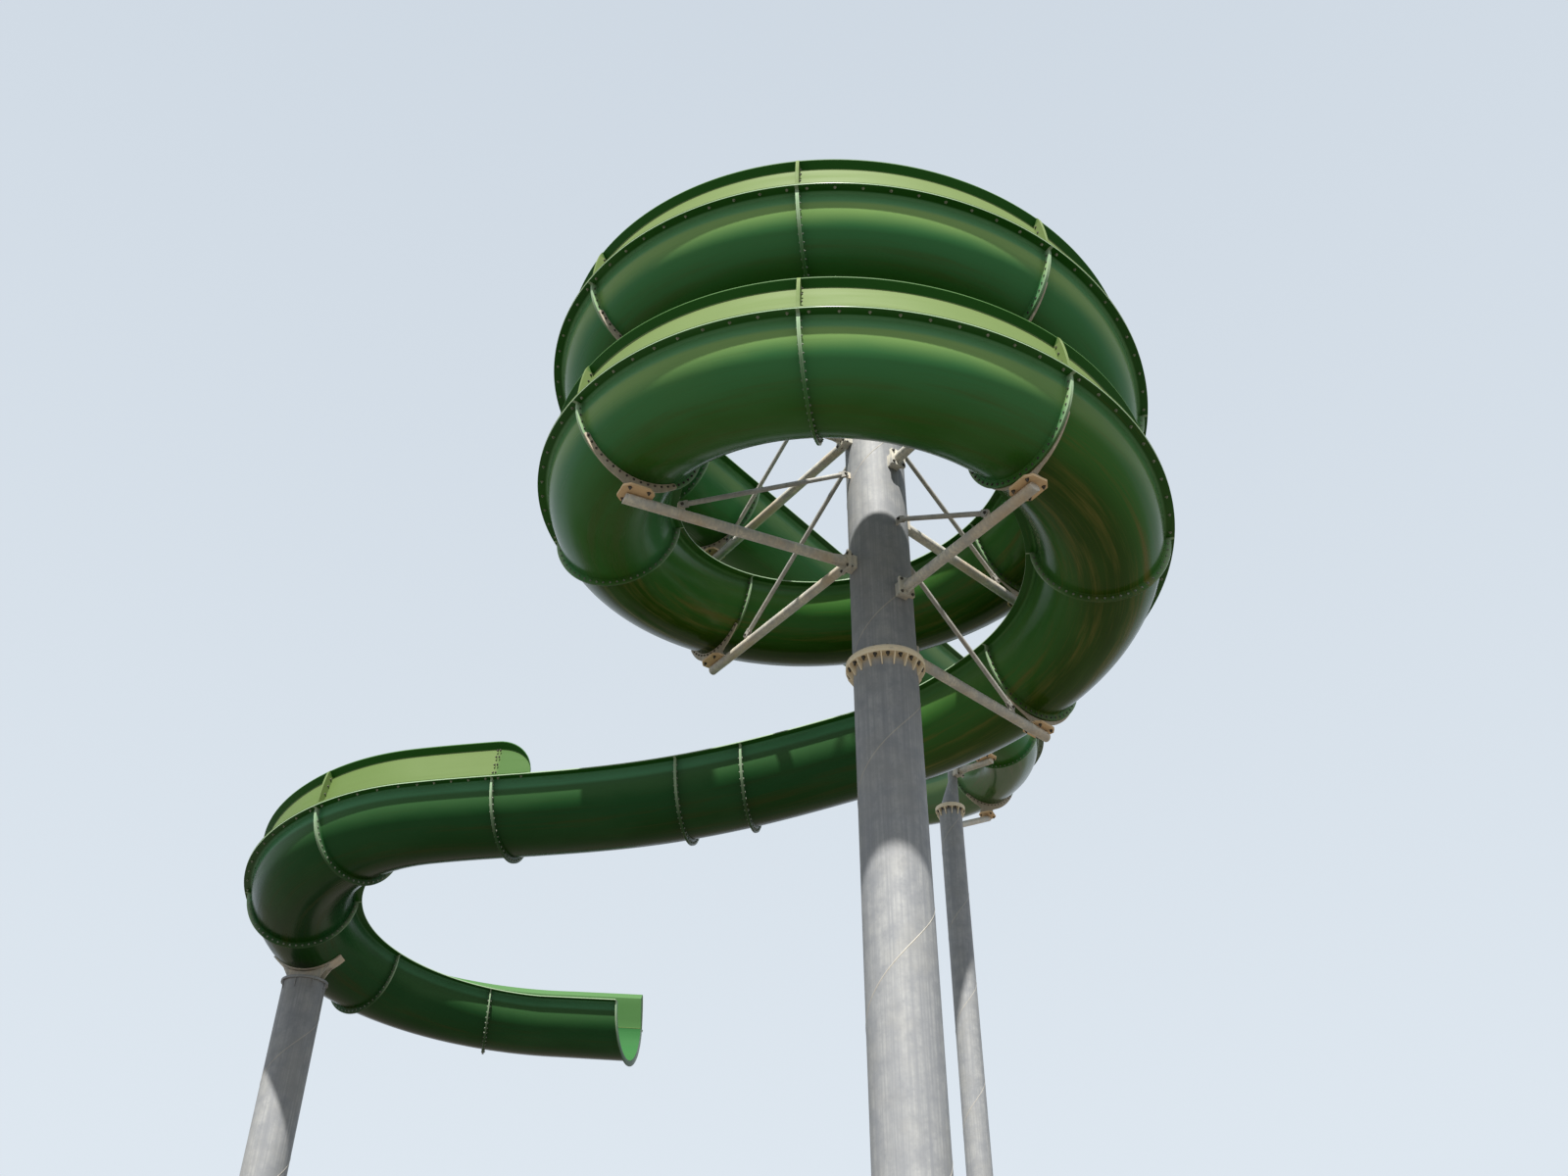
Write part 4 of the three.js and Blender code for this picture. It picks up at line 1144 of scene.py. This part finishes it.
def loop_post():
    distance = LEGS["loop"].start + arc_length(LEGS["loop"].heading - 360 - LOOP_POST_HEADING)
    seam, side, heading = station(distance)
    centre = at_height(seam, 0.0)
    top = seam[2] - SHELL_OUTSIDE - CRADLE_STAND - SEAT
    below = top - LOOP_CAP["thick"]
    shape = Shape()
    pipe = pipe_profile(POST_BASE["thick"] + SEAT, below, LOOP_POST_RADIUS)[:-1]
    cap = disc(below, top, LOOP_CAP["radius"], (0.0,) * 4)
    lathe(shape, centre, UP, pipe + [(below, LOOP_POST_RADIUS)] + cap, LOOP_POST_SIDES)
    weld_bead(shape, centre, LOOP_POST_RADIUS, BEAD_LOWEST, top - BEAD_CLEAR, *LOOP_POST_BEAD)
    for number in range(CAP_RIBS):
        outward = outwards(2 * math.pi * number / CAP_RIBS + math.radians(heading))
        origin = centre + outward * LOOP_POST_RADIUS + below * UP
        plate(shape, rib_outline(*CAP_RIB), origin, outward, -UP, RIB_THICKNESS)
    piece("loop_post_pipe", shape, "column", "column", "loop_post")
    cradle(distance, seam, side, forward(heading))
    base("loop_post_base", centre, LOOP_POST_RADIUS, **POST_BASE)


def cradle(distance, seam, side, way):
    """A band under the shell on two webs, and the plate that is bolted to the post's cap."""
    head, bolts = Shape(), Shape()
    inner = SHELL_OUTSIDE + CRADLE_GAP
    outer = inner + CRADLE_BAND["thick"]
    half_angle, half_length = CRADLE_BAND["half_angle"], CRADLE_BAND["half_length"]
    angles = np.radians(np.linspace(-90 - half_angle, -90 + half_angle, CRADLE_ARC_STEPS))
    band = np.concatenate((polar(inner, angles), polar(outer, angles[::-1])))
    steps = np.linspace(-half_length, half_length, CRADLE_RINGS)
    head.loft([(on_section(distance + gone, band), {}) for gone in steps])
    foot = -SHELL_OUTSIDE - CRADLE_STAND
    web = [(outer * math.cos(angle), outer * math.sin(angle) * CRADLE_WEB["overlap"])
           for angle in angles[CRADLE_INSET:-CRADLE_INSET]]
    web += [(x * CRADLE_WEB["foot"], foot + CRADLE_PLATE_THICK) for x in (1, -1)]
    for out in (-CRADLE_WEB["out"], CRADLE_WEB["out"]):
        plate(head, web, seam + way * out, side, UP, CRADLE_WEB["thick"])
    middle = seam + (foot + CRADLE_PLATE_THICK / 2) * UP
    plate(head, rounded_box(*CRADLE_PLATE), middle, side, way, CRADLE_PLATE_THICK)
    for x, y in CRADLE_BOLTS:
        spot = middle + side * x + way * y + CRADLE_PLATE_THICK / 2 * UP
        bolt(bolts, spot, UP, CRADLE_HEAD, STEEL_THREAD)
    piece("loop_cradle_steel", head, "arm", "bracket", "loop_cradle")
    piece("loop_cradle_bolts", bolts, "bolt", "bracket")


def entry_post():
    stub = ENTRY_STUB
    top = seam_height(ENTRY_RUN_FIRST) - SHELL_OUTSIDE - ARM_DROP["column"] + stub["above_arm"]
    ring = top - stub["length"]
    thick = ENTRY_RING_THICK
    throat = ring + thick + stub["throat_rise"]
    neck = top - stub["neck_length"]
    shape, bolts = Shape(), Shape()
    pipe = pipe_profile(POST_BASE["thick"] + SEAT, ring - thick, ENTRY_POST_RADIUS)[:-1]
    full, inner = ENTRY_RING_RADIUS, ENTRY_RING_RADIUS - DISC_ROUND
    flange = [
        (ring - thick, ENTRY_POST_RADIUS),
        (ring - thick, inner),
        (ring - thick + DISC_ROUND, full),
        (ring - ENTRY_GROOVE, full),
        (ring, inner),
        (ring + ENTRY_GROOVE, full),
        (ring + thick - DISC_ROUND, full),
        (ring + thick, inner),
    ]
    flange = [(*row, ENTRY_STAIN) for row in flange]
    flange.append((ring + thick, ENTRY_POST_RADIUS, ENTRY_STAIN / 2))
    rise, grow = ENTRY_SLOPE_ROUND
    upper = [
        (throat, stub["throat"]),
        (throat + rise, stub["throat"] - grow),
        (neck - rise, stub["neck"] + grow),
        (neck, stub["neck"]),
        (top - ENTRY_EDGE, stub["neck"]),
        (top, stub["neck"] - ENTRY_EDGE),
    ]
    lathe(shape, ENTRY_POST, UP, pipe + flange + upper, ENTRY_POST_SIDES)
    leaning = []
    for x, y, z in shape.points:
        share = min(1.0, max(0.0, (z - throat) / (neck - throat)))
        leaning.append((x + stub["lean"] * share, y, z))
    shape.points = leaning
    bolted_ring(shape, bolts, ENTRY_POST, ring, ENTRY_POST_RADIUS, ENTRY_RING_RADIUS, thick,
                ENTRY_RING_BOLTS, ENTRY_GUSSET)
    ends = (BEAD_LOWEST, ring - BEAD_CLEAR)
    weld_bead(shape, ENTRY_POST, ENTRY_POST_RADIUS, *ends, *ENTRY_POST_BEAD)
    piece("entry_post_pipe", shape, "column", "column", "entry_post")
    piece("entry_post_bolts", bolts, "dark_bolt", "column")
    base("entry_post_base", ENTRY_POST, ENTRY_POST_RADIUS, **POST_BASE)
    arm("entry_arm_1", ENTRY_NECK, stub["neck"], ENTRY_RUN_FIRST)
    arm("entry_arm_2", ENTRY_POST, ENTRY_POST_RADIUS, ENTRY_JOINTS[1], ENTRY_STRUT_DROP)


# Finishes

class Nodes:
    """A node tree, with short calls for the nodes that the finishes and the sky use."""

    def __init__(self, tree):
        self.tree = tree

    def node(self, kind, inputs=(), **settings):
        """A new node with its settings, and with its inputs by name or number."""
        made = self.tree.nodes.new(kind)
        for key, value in settings.items():
            setattr(made, key, value)
        for key, value in dict(inputs).items():
            self.link(value, made.inputs[key])
        return made

    def link(self, value, socket):
        if isinstance(value, bpy.types.NodeSocket):
            self.tree.links.new(value, socket)
        else:
            socket.default_value = value

    def attribute(self, name):
        return self.node("ShaderNodeAttribute", attribute_name=name).outputs["Fac"]

    def place(self):
        return self.node("ShaderNodeTexCoord").outputs["Object"]

    def maths(self, operation, *values):
        return self.node("ShaderNodeMath", enumerate(values), operation=operation).outputs[0]

    def times(self, first, second):
        return self.maths("MULTIPLY", first, second)

    def plus(self, first, second):
        return self.maths("ADD", first, second)

    def vector(self, x, y, z):
        return self.node("ShaderNodeCombineXYZ", enumerate((x, y, z))).outputs[0]

    def stretch(self, vector, scale):
        inputs = enumerate((vector, scale))
        return self.node("ShaderNodeVectorMath", inputs, operation="MULTIPLY").outputs[0]

    def noise(self, vector, scale=1.0, detail=3.0, roughness=0.55):
        inputs = {"Vector": vector, "Scale": scale, "Detail": detail, "Roughness": roughness}
        return self.node("ShaderNodeTexNoise", inputs).outputs["Fac"]

    def ramp(self, factor, low, high, kind="SMOOTHSTEP"):
        """0 below low, 1 above high, smooth between."""
        inputs = {"Value": factor, "From Min": low, "From Max": high}
        return self.node("ShaderNodeMapRange", inputs, interpolation_type=kind).outputs[0]

    def mix(self, factor, first, second):
        inputs = {0: factor}
        for number, colour in ((6, first), (7, second)):
            inputs[number] = (*colour, 1.0) if isinstance(colour, tuple) else colour
        return self.node("ShaderNodeMix", inputs, data_type="RGBA").outputs[2]

    def bump(self, height, strength, distance):
        inputs = {"Strength": strength, "Distance": distance, "Height": height}
        return self.node("ShaderNodeBump", inputs).outputs[0]


class Finish(Nodes):
    """A material and the tree of its nodes."""

    def __init__(self, name):
        self.material = bpy.data.materials.new(name)
        self.material.use_nodes = True
        super().__init__(self.material.node_tree)

    def done(self, colour, roughness, normal=None, **constants):
        sockets = self.tree.nodes["Principled BSDF"].inputs
        self.link(colour, sockets["Base Color"])
        self.link(roughness, sockets["Roughness"])
        if normal is not None:
            self.link(normal, sockets["Normal"])
        for key, value in constants.items():
            sockets[key.replace("_", " ")].default_value = value
        return self.material


# How much lighter the sun's side of a section is, from sun bleaching and painted light: its middle, its
# spread and the spiral's inner side
SUNLIT_MIDDLE = 0.35
SUNLIT_SPREAD = 0.9
SPIRAL_INNER_SUNLIT = 0.3
# Where one colour passes into the next, in metres round the shell from its lowest line
MIDDLE_BAND = (0.08, 0.50)
REFLECTION_STREAK_BAND = (0.40, 0.62)
BLEACHED_AND_LIT_BAND = (0.56, 0.74)
PAINTED_RIM_SHADOW_BAND = (0.785, 0.83)
RIM_UNDERSIDE_SHADE_BAND = (0.925, 0.945)
# How much a layer covers at most
PAINTED_RIM_SHADOW_SHARE = 0.8
PATCH_SHARE = 0.30
TONE_SHARE = 0.2
LINE_SHARE = 0.4
INSIDE_SHADE_SHARE = 0.7
# Dark green painted where there is shade: the rim's underside, the guard lip's underside and the exit
# guard's end
PAINTED_SHADE_GREEN = (0.013, 0.080, 0.008)
# Cool green painted as the rim's shadow on the shell (painted shade), partly a less bleached gelcoat
PAINTED_RIM_SHADOW = (0.065, 0.220, 0.105)
PAINTED_INSIDE_SHADE = (0.035, 0.125, 0.040)
# Painted highlight colour for the rim's and flanges' edges
PAINTED_EDGE_HIGHLIGHT = (0.32, 0.43, 0.29)


def gelcoat(name, under, middle, side, faded, reflection_streak, gloss, specular):
    """Glass fibre with a glossy pigmented skin: darker below, where shade falls (painted shade), and
    lighter at its sides that face the sun (sun bleaching and painted light).
    """
    finish = Finish(name)
    times, plus, ramp, mix = finish.times, finish.plus, finish.ramp, finish.mix
    along, around = finish.attribute("along"), finish.attribute("around")
    tone, sunny = finish.attribute("tone"), finish.attribute("sunny")
    shift = times(tone, 7.0)

    def streaks(along_scale, around_scale, detail, roughness):
        place = finish.vector(times(along, along_scale), times(around, around_scale), shift)
        return finish.noise(place, 1.0, detail, roughness)

    cloud = streaks(0.9, 1.8, 3.0, 0.55)
    thin = streaks(0.55, 9.0, 4.0, 0.65)
    fine = streaks(1.6, 70.0, 3.0, 0.6)
    level = finish.maths("ABSOLUTE", around)
    height = plus(level, times(finish.maths("SUBTRACT", cloud, 0.5), 0.16))
    # Darker towards the bottom: painted shade
    colour = mix(ramp(height, *MIDDLE_BAND), under, middle)
    # Lighter on the sun's side: sun bleaching and painted light
    colour = mix(times(ramp(height, *BLEACHED_AND_LIT_BAND), sunny), colour, side)
    # Painted shade: the rim's shadow on the shell just below it, on the sun's side
    rim_shadow = times(ramp(level, *PAINTED_RIM_SHADOW_BAND), sunny)
    colour = mix(times(rim_shadow, PAINTED_RIM_SHADOW_SHARE), colour, PAINTED_RIM_SHADOW)
    # Painted shade: the rim's underside turns dark green
    colour = mix(ramp(level, *RIM_UNDERSIDE_SHADE_BAND), colour, PAINTED_SHADE_GREEN)
    patch = times(ramp(cloud, 0.42, 0.75), PATCH_SHARE)
    colour = mix(plus(times(tone, TONE_SHARE), patch), colour, faded)
    # Painted reflection: streaks along the track low on the shell, and fine lines
    low = finish.maths("SUBTRACT", 1.0, ramp(height, *REFLECTION_STREAK_BAND))
    reflection_streaks = times(ramp(thin, 0.46, 0.72), reflection_streak[3])
    colour = mix(times(reflection_streaks, low), colour, reflection_streak[:3])
    colour = mix(times(ramp(fine, 0.52, 0.8), reflection_streak[3] * LINE_SHARE), colour, reflection_streak[:3])
    # Painted shade: the inside faces of the shell and the guard walls are darker
    colour = mix(times(finish.attribute("inside"), INSIDE_SHADE_SHARE), colour, PAINTED_INSIDE_SHADE)
    # Painted shade where this attribute is set on guard walls: the lip's underside and the exit guard's
    # end
    colour = mix(finish.attribute("stain"), colour, PAINTED_SHADE_GREEN)
    # Painted highlight along the rim and flange edges
    colour = mix(finish.attribute("edge"), colour, PAINTED_EDGE_HIGHLIGHT)
    dull = plus(times(ramp(thin, 0.4, 0.8), 0.16), gloss)
    dull = plus(dull, times(ramp(cloud, 0.45, 0.8), 0.08))
    speck = finish.noise(finish.place(), 26.0, 2.0)
    wave = finish.noise(finish.place(), 3.1, 2.0)
    normal = finish.bump(plus(times(speck, 0.12), wave), 0.22, 0.004)
    return finish.done(colour, dull, normal, Specular_IOR_Level=specular)


def galvanised(name, dark, light, stain, stain_share, rust, metallic, rough):
    """Weathered zinc: mottled patches, runs down the surface and a rust-tinted bloom."""
    finish = Finish(name)
    times, plus, ramp, mix = finish.times, finish.plus, finish.ramp, finish.mix
    place = finish.place()
    patches = finish.noise(place, 7.0, 5.0, 0.62)
    fine = finish.noise(place, 42.0, 3.0, 0.6)
    runs = finish.noise(finish.stretch(place, (40.0, 40.0, 0.6)), 1.0, 4.0, 0.6)
    cells = finish.node("ShaderNodeTexVoronoi", {"Vector": place, "Scale": 34.0}).outputs["Distance"]
    spangle = times(ramp(cells, 0.1, 0.6), 0.2)
    blend = times(plus(ramp(patches, 0.3, 0.7), spangle), ramp(runs, 0.2, 0.75))
    colour = mix(blend, dark, light)
    bloom = ramp(finish.noise(place, 2.3, 4.0, 0.6), 0.42, 0.7)
    colour = mix(times(bloom, stain_share), colour, stain)
    colour = mix(times(finish.attribute("stain"), ramp(patches, 0.1, 0.45)), colour, rust)
    dull = plus(times(fine, 0.2), rough)
    normal = finish.bump(fine, 0.12, 0.002)
    return finish.done(colour, dull, normal, Metallic=metallic, Specular_IOR_Level=0.35)


def plain_bolt(name, dark, light, metallic):
    """Dull steel or zinc with a little grime."""
    finish = Finish(name)
    grime = finish.noise(finish.place(), 60.0, 3.0)
    colour = finish.mix(finish.ramp(grime, 0.35, 0.7), dark, light)
    dull = finish.plus(finish.times(grime, 0.25), 0.35)
    return finish.done(colour, dull, Metallic=metallic)


def make_finishes():
    return {
        "trough": gelcoat("trough_green", (0.027, 0.106, 0.011), (0.042, 0.172, 0.060),
                          (0.168, 0.285, 0.090), (0.06, 0.17, 0.05), (0.068, 0.075, 0.012, 0.35),
                          0.20, 0.09),
        # Painted reflection streaks and painted shade: darker undersides
        "painted_reflection_trough": gelcoat("painted_reflection_trough_green", (0.021, 0.053, 0.001),
                                   (0.034, 0.138, 0.026), (0.130, 0.230, 0.070),
                                   (0.050, 0.130, 0.025), (0.112, 0.114, 0.024, 0.95), 0.17, 0.10),
        # Painted light: a lighter copy of the trough green for the entry curve
        "entry_trough": gelcoat("entry_trough_green", (0.040, 0.115, 0.022), (0.075, 0.165, 0.070),
                                (0.180, 0.285, 0.120), (0.10, 0.20, 0.09),
                                (0.130, 0.135, 0.075, 0.6), 0.14, 0.24),
        # Painted shade: a darker copy of the trough green for the exit run and the loop
        "painted_shade_trough": gelcoat("painted_shade_trough_green", (0.008, 0.046, 0.004), (0.012, 0.066, 0.018),
                              (0.034, 0.098, 0.034), (0.03, 0.09, 0.03), (0.045, 0.045, 0.008, 0.45),
                              0.20, 0.08),
        "spiral_guard": gelcoat("guard_green", (0.100, 0.150, 0.045), (0.108, 0.160, 0.050),
                                (0.118, 0.168, 0.056), (0.14, 0.19, 0.075), (0.09, 0.12, 0.04, 0.15),
                                0.58, 0.14),
        "loop_guard": gelcoat("loop_guard_green", (0.080, 0.130, 0.034), (0.088, 0.138, 0.040),
                              (0.095, 0.145, 0.045), (0.11, 0.16, 0.06), (0.07, 0.10, 0.03, 0.2),
                              0.50, 0.14),
        "column": galvanised("column_zinc", (0.180, 0.189, 0.206), (0.284, 0.290, 0.295),
                             (0.250, 0.246, 0.230), 0.35, (0.74, 0.63, 0.45), 0.05, 0.50),
        "arm": galvanised("arm_zinc", (0.36, 0.36, 0.35), (0.64, 0.60, 0.50),
                          (0.47, 0.36, 0.24), 0.70, (0.44, 0.34, 0.23), 0.05, 0.46),
        "tie": galvanised("tie_zinc", (0.29, 0.285, 0.27), (0.43, 0.42, 0.39),
                          (0.34, 0.30, 0.25), 0.40, (0.40, 0.32, 0.22), 0.05, 0.46),
        "saddle": galvanised("saddle_steel", (0.34, 0.30, 0.24), (0.51, 0.45, 0.36),
                             (0.43, 0.33, 0.22), 0.5, (0.64, 0.45, 0.26), 0.05, 0.5),
        "bolt": plain_bolt("seam_nut_zinc", (0.13, 0.15, 0.10), (0.33, 0.35, 0.27), 0.0),
        "joint_bolt": plain_bolt("joint_nut_zinc", (0.11, 0.13, 0.10), (0.28, 0.31, 0.25), 0.0),
        "dark_bolt": plain_bolt("bolt_steel", (0.035, 0.032, 0.028), (0.14, 0.13, 0.11), 0.4),
    }


# Floor, light and camera

SUN_ELEVATION = 52.6
SUN_AZIMUTH = 6.0
SUN_ENERGY = 9.0
SUN_WIDTH = 1.2
SUN_COLOUR = (1.0, 0.965, 0.895)
SUN_PLACE = (0.0, -12.0, 20.0)
# The sky's colour below the horizon, then each range of height in which it turns to the next one
SKY_BELOW = (0.42, 0.39, 0.33)
SKY_STEPS = ((-0.10, 0.0, (0.73, 0.80, 0.87)), (0.2, 1.0, (0.60, 0.67, 0.75)))
FLOOR_RADIUS = 600.0
FLOOR_SIDES = 96
FLOOR_COLOUR = (0.21, 0.21, 0.205)
FLOOR_LIGHTER = 1.06
FLOOR_ROUGHNESS = 0.8
CAMERA_PLACE = (-0.914, -10.094, 1.600)
CAMERA_TILT = 35.83
SENSOR_WIDTH = 36.0
FOCAL_LENGTH = 30.375


def floor():
    corners = polar(FLOOR_RADIUS, np.linspace(0, 2 * math.pi, FLOOR_SIDES, endpoint=False))
    mesh = bpy.data.meshes.new("floor")
    mesh.from_pydata([(x, y, 0.0) for x, y in corners], [], [tuple(range(FLOOR_SIDES))])
    made = bpy.data.objects.new("floor", mesh)
    finish = Finish("floor_pale")
    mottle = finish.noise(finish.place(), 0.6, 3.0)
    lighter = tuple(value * FLOOR_LIGHTER for value in FLOOR_COLOUR)
    mesh.materials.append(finish.done(finish.mix(mottle, FLOOR_COLOUR, lighter), FLOOR_ROUGHNESS))
    bpy.context.scene.collection.objects.link(made)
    made.visible_diffuse = False
    made.visible_glossy = False


def lights():
    lamp = bpy.data.lights.new("sun", "SUN")
    lamp.energy = SUN_ENERGY
    lamp.angle = math.radians(SUN_WIDTH)
    lamp.color = SUN_COLOUR
    sun = bpy.data.objects.new("sun", lamp)
    rise, turn = math.radians(SUN_ELEVATION), math.radians(SUN_AZIMUTH)
    way = Vector((math.sin(turn) * math.cos(rise), math.cos(turn) * math.cos(rise), -math.sin(rise)))
    sun.rotation_euler = way.to_track_quat("-Z", "Y").to_euler()
    sun.location = SUN_PLACE
    bpy.context.scene.collection.objects.link(sun)
    world = bpy.data.worlds.new("pale_sky")
    bpy.context.scene.world = world
    world.use_nodes = True
    sky = Nodes(world.node_tree)
    direction = sky.node("ShaderNodeTexCoord").outputs["Generated"]
    height = sky.node("ShaderNodeSeparateXYZ", {0: direction}).outputs["Z"]
    colour = SKY_BELOW
    for low, high, after in SKY_STEPS:
        colour = sky.mix(sky.ramp(height, low, high, "LINEAR"), colour, after)
    sky.link(colour, sky.tree.nodes["Background"].inputs["Color"])


def camera():
    data = bpy.data.cameras.new("camera")
    data.sensor_width = SENSOR_WIDTH
    data.lens = FOCAL_LENGTH
    made = bpy.data.objects.new("camera", data)
    made.location = CAMERA_PLACE
    made.rotation_euler = (math.radians(90.0 + CAMERA_TILT), 0.0, 0.0)
    bpy.context.scene.collection.objects.link(made)
    bpy.context.scene.camera = made


# The whole tower

def flume():
    for name, start, end in named_sections():
        # Painted reflection streaks and painted shade on these spiral sections
        coat = "painted_reflection_trough" if name in PAINTED_REFLECTION_SECTIONS else "trough"
        # Painted light: the entry curve's sections get a lighter, glossier green
        if end <= LEGS["entry_curve"].end + SAME_PLACE:
            coat = "entry_trough"
        # Painted shade: the exit run and the loop get a darker green
        if start >= EXIT_START - SAME_PLACE:
            coat = "painted_shade_trough"
        trough_section(name, start, end, coat)
        bolts, nuts, joint_nuts = Shape(), Shape(), Shape()
        seam_bolts(nuts, start, end)
        if end != LOOP_JOINTS[-1]:
            joint_bolts(bolts if horns(end)[0] else joint_nuts, end)
            for _, low, high, side in named_guards():
                if low + SAME_PLACE < end < high + SAME_PLACE:
                    fin_bolts(bolts, end, side)
        kinds = ((bolts, "_bolts", "dark_bolt"), (nuts, "_nuts", "bolt"),
                 (joint_nuts, "_joint_nuts", "joint_bolt"))
        for shape, label, finish in kinds:
            if shape.points:
                piece(name + label, shape, finish, "bracket")
    for name, start, end, side in named_guards():
        coat = "spiral_guard" if name.startswith("spiral") else "loop_guard"
        guard_wall(name, start, end, side, coat)


def steelwork():
    column()
    base("column_base", COLUMN_CENTRE, COLUMN_RADIUS, **COLUMN_BASE)
    for number, joint in enumerate(COLUMN_JOINTS, 1):
        arm(f"arm_{number}", COLUMN_CENTRE, COLUMN_RADIUS, joint)
    loop_post()
    entry_post()


camera()
floor()
lights()
FINISHES = make_finishes()
flume()
steelwork()
bpy.context.scene.view_settings.view_transform = "Standard"
